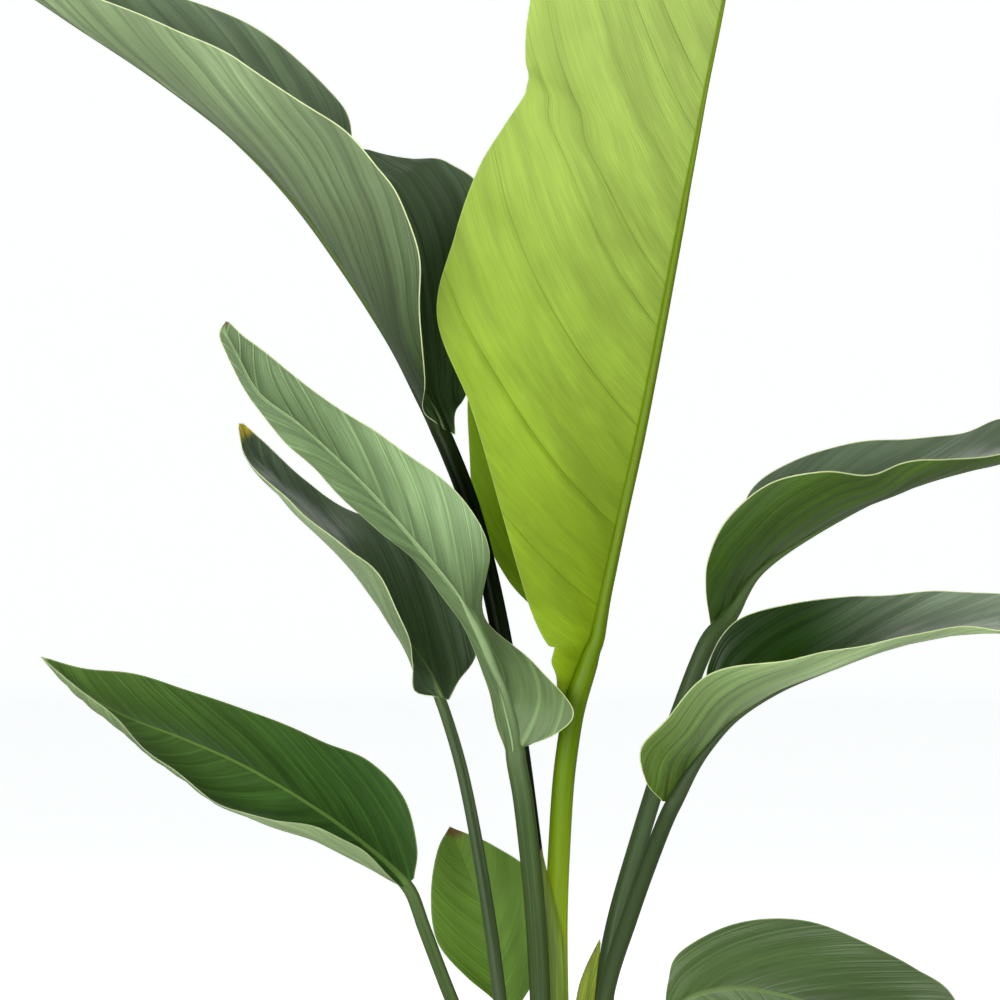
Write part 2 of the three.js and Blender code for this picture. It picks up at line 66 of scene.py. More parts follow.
# Each leaf runs from its base to its tip, in millimetres. A station holds a place on the midrib,
# one on the left edge and one on the right edge, as seen on the upper face with the tip up.
# stalk is the route from the mix to the blade, and radii are the stalk's at its foot and head and
# the midrib's at the tip. bellies say how far each half sags between midrib and edge, as a share
# of its width.
LEAVES = {
    "high_left": {
        "radii": (5.75, 4.75, 1.25),
        "bellies": (0.14, 0.1),
        "stalk": [
            (-1, 12, 175.5), (0, 11, 228.5), (-1, 10, 309),
            (-8.5, 11, 381.5), (-20.5, 13, 464.5), (-35.5, 14, 530.5),
        ],
        "stations": [
            ((-50.5, 14, 575.5), (-54, 12, 578.5), (-45, 16, 573)),
            ((-54, 14, 584.5), (-61, 3, 585), (-45, 29, 584.5)),
            ((-62, 13.5, 597.5), (-59.5, -21.5, 598.5), (-38, 43.5, 597)),
            ((-74, 12.5, 617), (-61.5, -43.5, 621), (-26.5, 47.5, 633)),
            ((-92, 10.5, 645), (-61.5, -54.5, 656), (-30.5, 33.5, 693)),
            ((-111, 8.5, 672), (-71.5, -55.5, 687), (-48, 38.5, 711)),
            ((-123.5, 7.5, 688), (-83, -55, 704), (-67.5, 46.5, 714.5)),
            ((-135, 6, 701), (-95, -55, 717), (-88, 51, 719)),
            ((-149, 4, 715), (-111, -54.5, 729), (-97, 47, 722)),
            ((-165, 2.5, 729), (-128, -53.5, 740), (-104, 38.5, 742.5)),
            ((-198.5, -2, 753.5), (-162, -50, 761.5), (-143, 24, 777)),
            ((-231, -7, 774.5), (-202.5, -42, 779.5), (-187.5, 13, 794.5)),
            ((-267, -13, 797.5), (-250, -32, 798), (-242.5, -1, 810)),
            ((-311, -20, 820.5), (-311, -20.5, 820.5), (-310.5, -19.5, 821)),
        ],
    },
    "new_centre": {
        "radii": (6, 5.75, 1.5),
        "bellies": (0.1, 0.07),
        "stalk": [
            (9, -1, 177.5), (7.5, -1.5, 230), (6, -2, 285),
            (5.5, -2, 330), (7, -2, 370), (9.5, -1.5, 405),
        ],
        "stations": [
            ((10.5, -1, 440), (9, 1, 442), (6, -3.5, 441.5)),
            ((14, -1, 448.5), (11, 11, 451.5), (5.5, -8, 452)),
            ((18.5, -1, 459), (10, 25, 462), (3, -11, 459.5)),
            ((21, -1, 465.5), (8, 34, 468.5), (4.5, -13.5, 467)),
            ((24, -1, 471), (6, 40, 473), (0.5, -14.5, 469)),
            ((26.5, -1, 480), (2, 49, 477.5), (-8, -18, 487.5)),
            ((31.5, -1, 502.5), (-18.5, 64, 499), (-20, -24, 528)),
            ((38, -1, 532.5), (-35, 73, 535), (-36, -28, 583)),
            ((46.5, -1, 570), (-39, 77, 581.5), (-53.5, -30, 630)),
            ((55, -1.5, 612.5), (-35, 73.5, 638), (-45, -30.5, 670)),
            ((63.5, -2, 657.5), (-22.5, 68, 694.5), (-33.5, -29.5, 703)),
            ((68, -2, 681), (-16.5, 64, 721.5), (-20, -29, 725.5)),
            ((70.5, -2.5, 695), (-11.5, 61, 741.5), (-10.5, -28.5, 740)),
            ((73, -2.5, 707.5), (-7.5, 58.5, 757), (-8.5, -28, 749.5)),
            ((76, -3, 723), (-4, 55.5, 775), (-10, -27.5, 759)),
            ((80.5, -3.5, 747), (2, 50.5, 801), (-8.5, -26.5, 781)),
            ((89.5, -4.5, 792), (15.5, 40.5, 848), (1.5, -24.5, 831.5)),
            ((96.5, -6, 839), (35.5, 25, 889), (23, -21, 881.5)),
            ((100, -8, 886), (65.5, 7, 922), (57, -16, 920)),
            ((103, -11, 938), (102, -10.5, 938), (102, -11.5, 938.5)),
        ],
    },
    "mid_left": {
        "radii": (5.5, 5, 1.1),
        "bellies": (0.12, 0.1),
        "stalk": [
            (0, -20, 181), (-1, -19.5, 232.5), (-2.5, -19, 292),
            (-5.5, -22, 342), (-11, -26, 392),
        ],
        "stations": [
            ((-16, -28, 415), (-19.5, -25, 414.5), (-12, -26.5, 417.5)),
            ((-17, -29, 422), (-21, -9, 419.5), (6, -32, 425.5)),
            ((-20, -30.5, 435.5), (-25, 0.5, 432.5), (13.5, -29.5, 437)),
            ((-23.5, -32, 449), (-29, 6, 446), (-5, -12, 458)),
            ((-31, -34, 469.5), (-37, 8, 467.5), (-29.5, -1, 480.5)),
            ((-42, -36.5, 490), (-48, 6.5, 488.5), (-28, -11.5, 515)),
            ((-60.5, -39.5, 514), (-70.5, 2.5, 513.5), (-44.5, -20.5, 544.5)),
            ((-88.5, -43.5, 546), (-101, -5.5, 541), (-78, -22.5, 569.5)),
            ((-119, -48, 575), (-128, -19, 568.5), (-113, -31, 593)),
            ((-140.5, -51.5, 592), (-146, -33.5, 590.5), (-137.5, -42.5, 612.5)),
            ((-152, -54.5, 613), (-157.5, -47.5, 614), (-148, -50.5, 620.5)),
            ((-156.5, -56, 622), (-159.5, -54, 621.5), (-153.5, -54.5, 626)),
            ((-156, -56.5, 627), (-156.5, -56, 626.5), (-155.5, -56.5, 627)),
        ],
    },
    "cupped_left": {
        "radii": (4, 2.9, 0.9),
        "bellies": (0.1, 0.12),
        "stalk": [
            (-15, -17, 180.5), (-17, -14, 232), (-22.5, -7, 291),
            (-30.5, 2, 347.5), (-41, 9, 402),
        ],
        "stations": [
            ((-51, 13.5, 440), (-54, 12, 441), (-48, 15, 439.5)),
            ((-54, 13.5, 446.5), (-65.5, 4.5, 444.5), (-43, 23.5, 449)),
            ((-59, 13, 455.5), (-66, -15, 459), (-34.5, 32, 461.5)),
            ((-69.5, 12.5, 470), (-68.5, -29.5, 476), (-34, 37.5, 484)),
            ((-83.5, 12, 490), (-80, -34, 499), (-47, 40, 508.5)),
            ((-100, 11, 513), (-96.5, -33, 516), (-71, 40, 525.5)),
            ((-117, 10, 531.5), (-115.5, -26, 529.5), (-97.5, 37, 534.5)),
            ((-134.5, 9, 549), (-131, -15, 542.5), (-122.5, 29, 551)),
            ((-146.5, 8.5, 562), (-149, -2.5, 560.5), (-140, 18.5, 568)),
            ((-153.5, 8, 578.5), (-154, 7.5, 577.5), (-152.5, 8.5, 579.5)),
        ],
    },
    "low_left": {
        "radii": (3.75, 3.25, 0.8),
        "bellies": (0.24, 0.1),
        "stalk": [
            (-18, -3, 178), (-25, -6, 226), (-37.5, -13, 269),
            (-49, -18, 298.5), (-60, -22, 328),
        ],
        "stations": [
            ((-68, -25, 350), (-71.5, -26, 348.5), (-65, -24, 353)),
            ((-74, -26, 356.5), (-78.5, -41, 357), (-63.5, -20, 368.5)),
            ((-84, -27.5, 365.5), (-91.5, -56.5, 371.5), (-70, -15, 392)),
            ((-101.5, -30, 379.5), (-108.5, -67.5, 380), (-88, -11, 410.5)),
            ((-122.5, -33.5, 394), (-133, -72.5, 385.5), (-111, -11, 420)),
            ((-150.5, -38, 410.5), (-161, -69, 394.5), (-142.5, -15.5, 434)),
            ((-178, -43, 423), (-188.5, -69, 414.5), (-175, -22, 445)),
            ((-204.5, -47.5, 433.5), (-209.5, -68.5, 435.5), (-202.5, -32.5, 454.5)),
            ((-226.5, -50.5, 446), (-227.5, -61.5, 448.5), (-226.5, -42.5, 457.5)),
            ((-246.5, -53, 463.5), (-246.5, -53.5, 463.5), (-246, -52.5, 463.5)),
        ],
    },
    "small_back": {
        "radii": (3, 2.5, 0.75),
        "bellies": (0.06, 0.06),
        "stalk": [(-9, 23, 173.5), (-11, 23, 211.5), (-14.5, 24, 249.5)],
        "stations": [
            ((-18, 25, 279), (-20, 24.5, 280), (-16, 25.5, 279)),
            ((-19.5, 26, 287), (-25.5, 22, 287.5), (-11.5, 24, 286.5)),
            ((-21.5, 27.5, 298), (-39.5, 19.5, 300), (-4.5, 23.5, 300)),
            ((-25.5, 30, 314.5), (-54.5, 21, 317), (-2.5, 25, 322.5)),
            ((-31, 33.5, 333), (-57.5, 24.5, 341.5), (-7.5, 28.5, 351.5)),
            ((-39, 38, 353), (-54, 32, 362.5), (-26.5, 35, 365)),
            ((-48, 43, 373.5), (-48.5, 43, 373), (-47, 43, 373)),
        ],
    },
    "upper_right": {
        "radii": (5.25, 4.5, 1),
        "bellies": (0.1, 0.14),
        "stalk": [
            (26, 11, 175.5), (27, 12, 228.5), (30, 13, 288.5),
            (35, 15, 323.5), (47.5, 20, 367.5), (68, 30, 430.5),
        ],
        "stations": [
            ((85, 36, 474.5), (90, 37, 474.5), (84.5, 35, 477)),
            ((93, 36.5, 483), (96.5, 53.5, 496.5), (81.5, 26.5, 494.5)),
            ((99, 37, 493), (100, 63, 522), (82.5, 16, 511.5)),
            ((107.5, 38, 503.5), (107, 59, 546), (91.5, 8, 531)),
            ((122.5, 39, 514.5), (129, 63, 560.5), (112.5, 3, 548)),
            ((145, 40, 528), (159, 69, 569.5), (138.5, -1, 554.5)),
            ((170.5, 41, 541), (188.5, 74, 571.5), (164.5, -1, 553)),
            ((197.5, 42, 551), (216, 72, 575), (188, 5, 560.5)),
            ((228.5, 43.5, 560.5), (241, 64.5, 582.5), (220.5, 16.5, 561.5)),
            ((256, 45, 568), (265.5, 56, 580.5), (252.5, 31, 568.5)),
            ((282, 46.5, 573.5), (282, 47, 574), (281, 46, 573.5)),
        ],
    },
    "lower_right": {
        "radii": (4.75, 4.1, 1),
        "bellies": (0.12, 0.08),
        "stalk": [
            (22.5, -9, 179), (24, -9, 231.5), (29.5, -10, 291),
            (42, -16, 333.5), (54.5, -24, 369.5),
        ],
        "stations": [
            ((62, -28, 392), (64.5, -27, 391), (57.5, -29.5, 391.5)),
            ((66, -29, 400.5), (75.5, -7, 409.5), (49, -42, 402)),
            ((70.5, -30, 407.5), (81.5, 6, 432), (46, -54, 419.5)),
            ((79, -31, 418.5), (83, 7, 458), (59, -69, 434.5)),
            ((94, -32.5, 433.5), (95.5, 6.5, 479.5), (77, -78.5, 455)),
            ((115.5, -34, 447), (124, 8, 488), (103.5, -84, 462)),
            ((142, -35.5, 458), (154, 8.5, 491.5), (131.5, -83.5, 465.5)),
            ((170, -37, 469.5), (184, 3, 493.5), (160.5, -79, 472)),
            ((200, -38.5, 476), (213, -5.5, 494), (193, -71.5, 477.5)),
            ((231, -40, 478), (243.5, -18, 492), (224.5, -61, 477)),
            ((258, -41.5, 475.5), (266, -31.5, 485), (255, -51.5, 476)),
            ((282.5, -43, 471.5), (282.5, -42.5, 472), (282, -43.5, 471.5)),
        ],
    },
    "low_right": {
        "radii": (4.5, 3.75, 1),
        "bellies": (0.08, 0.1),
        "stalk": [(35, -3, 178), (37.5, -6, 216), (45.5, -12, 254)],
        "stations": [
            ((60.5, -21, 283.5), (59, -19.5, 285.5), (62.5, -22.5, 282)),
            ((67.5, -24, 291.5), (61, -13, 300.5), (71, -35, 280)),
            ((79, -28, 297), (67.5, -9, 315), (83, -51, 271.5)),
            ((96.5, -34, 299.5), (94, -8, 329), (101.5, -64, 267)),
            ((118.5, -42, 296.5), (127, -14, 331.5), (122.5, -74, 262)),
            ((142.5, -51, 289), (156.5, -26, 322), (145, -80, 255.5)),
            ((167, -60.5, 278), (181, -41.5, 310.5), (169, -82.5, 250.5)),
            ((190.5, -70, 264.5), (200, -58, 295.5), (192, -83, 246.5)),
            ((212.5, -79, 247), (213.5, -78.5, 247.5), (212.5, -79.5, 246.5)),
        ],
    },
}

# The sheaths are built as a blade is, without a midrib. green is a sheath's colour.
SHEATHS = {
    "centre_sheath": {
        "green": (0.102, 0.162, 0.009),
        "bellies": (0.12, 0.12),
        "stations": [
            ((3, -10.5, 172), (14, -7, 171), (0, 0, 170)),
            ((2.5, -10, 201.5), (13.5, -7, 201), (-0.5, 0, 200)),
            ((2, -10, 236.5), (12.5, -7.5, 236), (-1, -1, 235)),
            ((1, -10, 266), (11.5, -8, 266), (-1.5, -3, 265.5)),
            ((0.5, -10.5, 291), (11, -8.5, 291), (-2.5, -5.5, 290.5)),
            ((0, -11, 310), (11, -9, 310), (-3, -7.5, 310)),
            ((-1, -11.5, 328.5), (7.5, -9.5, 328), (-3, -9.5, 328.5)),
            ((-1.5, -12.5, 348.5), (2.5, -10.5, 348), (-3, -11.5, 348.5)),
            ((-2, -13, 367), (-2, -13, 367), (-2.5, -13, 367)),
        ],
    },
    "right_sheath": {
        "green": (0.430, 0.570, 0.050),
        "bellies": (0.12, 0.12),
        "stations": [
            ((18, 16, 167.5), (15.5, 7, 169), (24.5, 23, 166)),
            ((17.5, 16, 197.5), (15, 7, 199), (24, 23, 196.5)),
            ((17.5, 16.5, 232.5), (14.5, 7.5, 234), (24, 23.5, 231.5)),
            ((18, 17.5, 263), (14, 9, 264), (24.5, 24, 262)),
            ((20, 19, 288), (16, 11, 289), (25.5, 24.5, 287)),
            ((23.5, 21, 303), (20, 15, 303), (27, 24, 303)),
            ((28, 22.5, 318), (27.5, 22, 317.5), (28.5, 23, 317.5)),
        ],
    },
}

# What each leaf looks like. upper and under give a face's colour near its base and near its tip,
# and the shares of the length between which it turns from one to the other. rib is the midrib's
# colour below, and stalk the stalk's. sweep is how far a vein runs toward the tip on its way across
# the blade, near the base and near the tip. spacing and depth are those of the folds along the
# larger veins in mm, measured across them, lean makes a fold steep on one side, and line is how much
# painted highlight (above zero, lighter) or painted shade (below zero, darker) lies along its
# crease. bands and grain are the strength of the dark bands and of the fine veins, and darker that
# of the painted shade, a darker colour, near the base and near the tip. edge is how clearly the
# pale edge shows, and tip is the colour and length in mm of the tip. gloss is the roughness, shine
# the strength of the reflection, and taper how fast the midrib thins.
FINISHES = {
    "high_left": {
        "slot": "dark_leaf", "stalk_slot": "stalk",
        "upper": ((0.050, 0.094, 0.034), (0.098, 0.150, 0.072), (0.0, 0.5)),
        "under": ((0.020, 0.038, 0.009), (0.172, 0.242, 0.112), (0.0, 0.70)),
        # the stalk's near-black colour is painted shade, for a stalk deep in the shadow of the leaves
        "rib": (0.085, 0.130, 0.035), "stalk": ((0.003, 0.007, 0.001), (0.003, 0.007, 0.001)),
        "sweep": (2.6, 3.2), "spacing": 10.0, "depth": 0.55, "lean": 0.2, "line": -0.6,
        "bands": 0.7, "darker": (0.1, 0.0), "grain": 0.8, "edge": 0.9, "tip": ((0.30, 0.30, 0.10), 4.0),
        "gloss": 0.45, "shine": 0.25, "taper": 1.8,
    },
    "new_centre": {
        "slot": "young_leaf", "stalk_slot": "young_stalk",
        "upper": ((0.170, 0.310, 0.0), (0.220, 0.350, 0.015), (0.0, 1.0)),
        "under": ((0.155, 0.245, 0.005), (0.305, 0.412, 0.100), (0.05, 0.95)),
        "rib": (0.114, 0.180, 0.003), "stalk": ((0.105, 0.195, 0.0), (0.220, 0.330, 0.006)),
        "sweep": (0.0, 1.9), "spacing": 33.0, "depth": 0.7, "lean": 1.0, "line": -0.45,
        "bands": 0.42, "darker": (0.1, 0.0), "grain": 0.25, "edge": 0.15, "tip": ((0.40, 0.52, 0.10), 2.0),
        "gloss": 0.5, "shine": 0.12, "taper": 1.5,
    },
    "mid_left": {
        "slot": "pale_leaf", "stalk_slot": "stalk",
        "upper": ((0.112, 0.176, 0.062), (0.190, 0.290, 0.125), (0.08, 0.4)),
        "under": ((0.235, 0.365, 0.140), (0.095, 0.140, 0.062), (0.4, 0.95)),
        "rib": (0.270, 0.380, 0.180), "stalk": ((0.034, 0.064, 0.013), (0.028, 0.052, 0.010)),
        "sweep": (1.2, 1.9), "spacing": 11.0, "depth": 0.55, "lean": 0.5, "line": 0.6,
        "bands": 0.6, "darker": (0.5, 1.0), "grain": 0.75, "edge": 0.75, "tip": ((0.12, 0.07, 0.03), 3.0),
        "gloss": 0.45, "shine": 0.3, "taper": 3.2,
    },
    "cupped_left": {
        "slot": "dark_leaf", "stalk_slot": "stalk",
        "upper": ((0.040, 0.072, 0.028), (0.085, 0.125, 0.070), (0.1, 0.8)),
        "under": ((0.160, 0.240, 0.100), (0.240, 0.335, 0.160), (0.0, 1.0)),
        "rib": (0.130, 0.190, 0.045), "stalk": ((0.055, 0.085, 0.036), (0.045, 0.072, 0.028)),
        "sweep": (2.0, 2.6), "spacing": 10.0, "depth": 0.45, "lean": 0.3, "line": -0.4,
        "bands": 0.6, "darker": (0.2, 0.0), "grain": 0.75, "edge": 0.7, "tip": ((0.45, 0.36, 0.03), 8.0),
        "gloss": 0.42, "shine": 0.3, "taper": 2.5,
    },
    "low_left": {
        "slot": "dark_leaf", "stalk_slot": "stalk",
        "upper": ((0.022, 0.058, 0.009), (0.054, 0.106, 0.020), (0.2, 1.0)),
        "under": ((0.200, 0.275, 0.125), (0.130, 0.190, 0.080), (0.3, 0.7)),
        "rib": (0.150, 0.250, 0.050), "stalk": ((0.045, 0.078, 0.020), (0.045, 0.078, 0.020)),
        "sweep": (1.7, 2.2), "spacing": 8.0, "depth": 0.4, "lean": 0.0, "line": 0.4,
        "bands": 0.45, "darker": (0.1, 0.0), "grain": 0.9, "edge": 0.25, "tip": ((0.50, 0.55, 0.25), 5.0),
        "gloss": 0.42, "shine": 0.06, "taper": 2.0,
    },
    "small_back": {
        "slot": "dark_leaf", "stalk_slot": "stalk",
        "upper": ((0.093, 0.186, 0.020), (0.110, 0.204, 0.027), (0.0, 1.0)),
        "under": ((0.110, 0.205, 0.028), (0.110, 0.205, 0.028), (0.0, 1.0)),
        "rib": (0.140, 0.230, 0.040), "stalk": ((0.080, 0.140, 0.030), (0.080, 0.140, 0.030)),
        "sweep": (1.2, 1.5), "spacing": 8.0, "depth": 0.3, "lean": 0.0, "line": 0.12,
        "bands": 0.25, "darker": (0.0, 0.0), "grain": 0.3, "edge": 0.2, "tip": ((0.10, 0.045, 0.015), 7.0),
        "gloss": 0.5, "shine": 0.12, "taper": 1.5,
    },
    "upper_right": {
        "slot": "dark_leaf", "stalk_slot": "stalk",
        "upper": ((0.060, 0.098, 0.047), (0.098, 0.140, 0.081), (0.0, 0.6)),
        "under": ((0.019, 0.050, 0.001), (0.042, 0.086, 0.007), (0.0, 0.4)),
        "rib": (0.085, 0.140, 0.035), "stalk": ((0.042, 0.073, 0.024), (0.042, 0.073, 0.024)),
        "sweep": (1.8, 2.8), "spacing": 9.0, "depth": 0.45, "lean": 0.2, "line": -0.3,
        "bands": 0.7, "darker": (0.1, 0.0), "grain": 0.65, "edge": 0.75, "tip": ((0.30, 0.30, 0.10), 4.0),
        "gloss": 0.34, "shine": 0.25, "taper": 1.8,
    },
    "lower_right": {
        "slot": "dark_leaf", "stalk_slot": "stalk",
        # the upper face turns from its own dark green to a pale grey far colour that is painted sheen, a
        # reflection of the bright surroundings
        "upper": ((0.008, 0.029, 0.001), (0.255, 0.330, 0.225), (0.3, 0.8)),
        "under": ((0.056, 0.106, 0.010), (0.300, 0.420, 0.185), (0.0, 0.52)),
        "rib": (0.060, 0.090, 0.035), "stalk": ((0.026, 0.045, 0.014), (0.032, 0.054, 0.016)),
        "sweep": (1.8, 2.6), "spacing": 9.0, "depth": 0.5, "lean": 0.3, "line": -0.45,
        "bands": 0.85, "darker": (0.1, 0.0), "grain": 0.8, "edge": 0.7, "tip": ((0.30, 0.30, 0.10), 4.0),
        "gloss": 0.34, "shine": 0.2, "taper": 2.2,
    },
    "low_right": {
        "slot": "dark_leaf", "stalk_slot": "stalk",
        "upper": ((0.058, 0.100, 0.027), (0.042, 0.074, 0.022), (0.0, 0.6)),
        "under": ((0.160, 0.240, 0.100), (0.160, 0.240, 0.100), (0.0, 1.0)),
        "rib": (0.140, 0.210, 0.070), "stalk": ((0.060, 0.100, 0.035), (0.060, 0.100, 0.035)),
        "sweep": (1.3, 1.8), "spacing": 9.0, "depth": 0.4, "lean": 0.0, "line": 0.25,
        "bands": 0.35, "darker": (0.0, 0.0), "grain": 0.45, "edge": 0.3, "tip": ((0.30, 0.30, 0.10), 4.0),
        "gloss": 0.36, "shine": 0.3, "taper": 1.5,
    },
}


class LeafSettings(bpy.types.PropertyGroup):
    """Sizes and colours that the blades and sheaths share."""

    thickness: FloatProperty(
        name="Thickness", description="Thickness of a blade between its veins",
        default=0.9 * MM, min=0.6 * MM, unit="LENGTH")
    ripple: FloatProperty(
        name="Edge Ripple", description="Height of the slow waves along a blade's edge",
        default=0.8 * MM, min=0.0, unit="LENGTH")
    mesh_step: FloatProperty(
        name="Mesh Step", description="Length of one face of a blade",
        default=1.8 * MM, min=0.5 * MM, unit="LENGTH")
    edge_colour: FloatVectorProperty(
        name="Edge Colour", description="The pale line round every blade",
        default=(0.50, 0.56, 0.28), subtype="COLOR", size=3, min=0.0, max=1.0)
    dry_colour: FloatVectorProperty(
        name="Dry Colour", description="Dry brown of tips and sheath edges",
        default=(0.17, 0.085, 0.025), subtype="COLOR", size=3, min=0.0, max=1.0)


class StalkSettings(bpy.types.PropertyGroup):
    """Sizes that the stalks share."""

    sides: IntProperty(
        name="Sides", description="Faces round a stalk", default=28, min=8)
    step: FloatProperty(
        name="Step", description="Length of one ring of a stalk",
        default=3.5 * MM, min=1 * MM, unit="LENGTH")
    channel: FloatProperty(
        name="Channel", description="Depth of the channel on a stalk's upper side, in radii",
        default=0.32, min=0.0, max=0.9)
    root_depth: FloatProperty(
        name="Root Depth", description="How far a stalk reaches down into the mix",
        default=42 * MM, min=0.0, unit="LENGTH")


class MixSettings(bpy.types.PropertyGroup):
    """Sizes and colours of the potting mix."""

    seed: IntProperty(name="Seed", description="Seed of the chips' places", default=7)
    chips: IntProperty(name="Chips", description="Pieces of bark on the mix", default=520, min=0)
    crumbs: IntProperty(name="Crumbs", description="White crumbs in the mix", default=90, min=0)
    chip_size: FloatProperty(
        name="Chip Size", description="Length of a common piece of bark",
        default=9 * MM, min=1 * MM, unit="LENGTH")
    bark_colour: FloatVectorProperty(
        name="Bark Colour", description="Colour of moist bark",
        default=(0.085, 0.045, 0.024), subtype="COLOR", size=3, min=0.0, max=1.0)


class PotSettings(bpy.types.PropertyGroup):
    """Sizes and colours of the pot."""

    sides: IntProperty(name="Sides", description="Faces round the pot", default=128, min=16)
    glaze_colour: FloatVectorProperty(
        name="Glaze Colour", description="Matte glaze of the pot",
        default=(0.80, 0.775, 0.725), subtype="COLOR", size=3, min=0.0, max=1.0)


class StageSettings(bpy.types.PropertyGroup):
    """Floor, lights and camera."""

    eye_distance: FloatProperty(
        name="Eye Distance", description="From the camera to the pot's axis",
        default=2.2, min=0.5, unit="LENGTH")
    eye_height: FloatProperty(
        name="Eye Height", description="Height of the camera", default=0.54, unit="LENGTH")
    eye_across: FloatProperty(
        name="Eye Across", description="How far the camera stands to the right of the pot's axis",
        default=-0.0225, unit="LENGTH")
    view_width: FloatProperty(
        name="View Width", description="Width of the view at the pot's axis",
        default=0.5, min=0.05, unit="LENGTH")
    key_power: FloatProperty(name="Key Power", description="Main light, in watts", default=55.0)
    low_power: FloatProperty(name="Low Power", description="Low front light, in watts", default=35.0)
    fill_power: FloatProperty(name="Fill Power", description="Side light, in watts", default=35.0)
    back_power: FloatProperty(name="Back Power", description="High back light, in watts", default=45.0)
    sky: FloatProperty(name="Sky", description="Strength of the white surroundings", default=0.3)
    floor_glow: FloatProperty(
        name="Floor Glow", description="How much the camera sees the floor brightened", default=0.74)


def unit(vectors):
    """Vectors at length one. A vector of no length stays as it is."""
    shortest = 1e-12
    return vectors / np.maximum(np.linalg.norm(vectors, axis=-1, keepdims=True), shortest)


def eased(values, start, end):
    """0 below start, 1 above end and a smooth rise between."""
    share = np.clip((values - start) / (end - start), 0, 1)
    return share * share * (3 - 2 * share)


def softened(values, times):
    """A row of values with each inner one drawn toward its neighbours, as many times as asked."""
    values = values.copy()
    for _ in range(times):
        values[1:-1] = (values[:-2] + 2 * values[1:-1] + values[2:]) / 4
    return values


def swing(place, turning, shift=0.0):
    """A wave along a blade. turning is in radians a metre."""
    return np.sin(place * turning + shift)


def smooth(places, shares):
    """Places on a smooth curve through the given ones, at shares of its run from 0 to 1."""
    points = np.array(places, float)
    ends = np.vstack([2 * points[0] - points[1], points, 2 * points[-1] - points[-2]])
    run = np.clip(shares, 0, 1) * (len(points) - 1)
    first = np.minimum(run.astype(int), len(points) - 2)
    part = (run - first)[:, None]
    a, b, c, d = (ends[first + step] for step in range(4))
    cubic = 2 * a - 5 * b + 4 * c - d + part * (3 * (b - c) + d - a)
    return b + 0.5 * part * (c - a + part * cubic)


def distances(places):
    """How far each place in a row is from the first, along the row."""
    steps = np.linalg.norm(np.diff(places, axis=0), axis=1)
    return np.concatenate([[0], np.cumsum(steps)])


def even_shares(places, count, run=1):
    """Shares that cut a smooth curve, up to a share of its run, into equal lengths, and their ends."""
    dense = np.linspace(0, run, CURVE_SAMPLES)
    travelled = distances(smooth(places, dense))
    lengths = np.linspace(0, travelled[-1], count + 1)
    return np.interp(lengths, travelled, dense), lengths


def curve_length(places):
    return even_shares(places, 1)[1][-1]


def uprights(grid):
    """The upward direction at each place of a blade."""
    along = np.gradient(grid, axis=0)
    across = np.gradient(grid, axis=1)
    up = unit(np.cross(across, along))
    up[-1] = up[-2]
    return up


def rib_sink(place):
    """How far below the blade the midrib's centre lies, in radii, at a distance from its base."""
    at_base, further_on = 0.8, 0.3
    return at_base + (further_on - at_base) * eased(place, 0, 60 * MM)


def vein_slope(finish):
    """How much longer the way between two veins is along the midrib than across the veins."""
    return math.hypot(1, sum(finish["sweep"]) / 2)


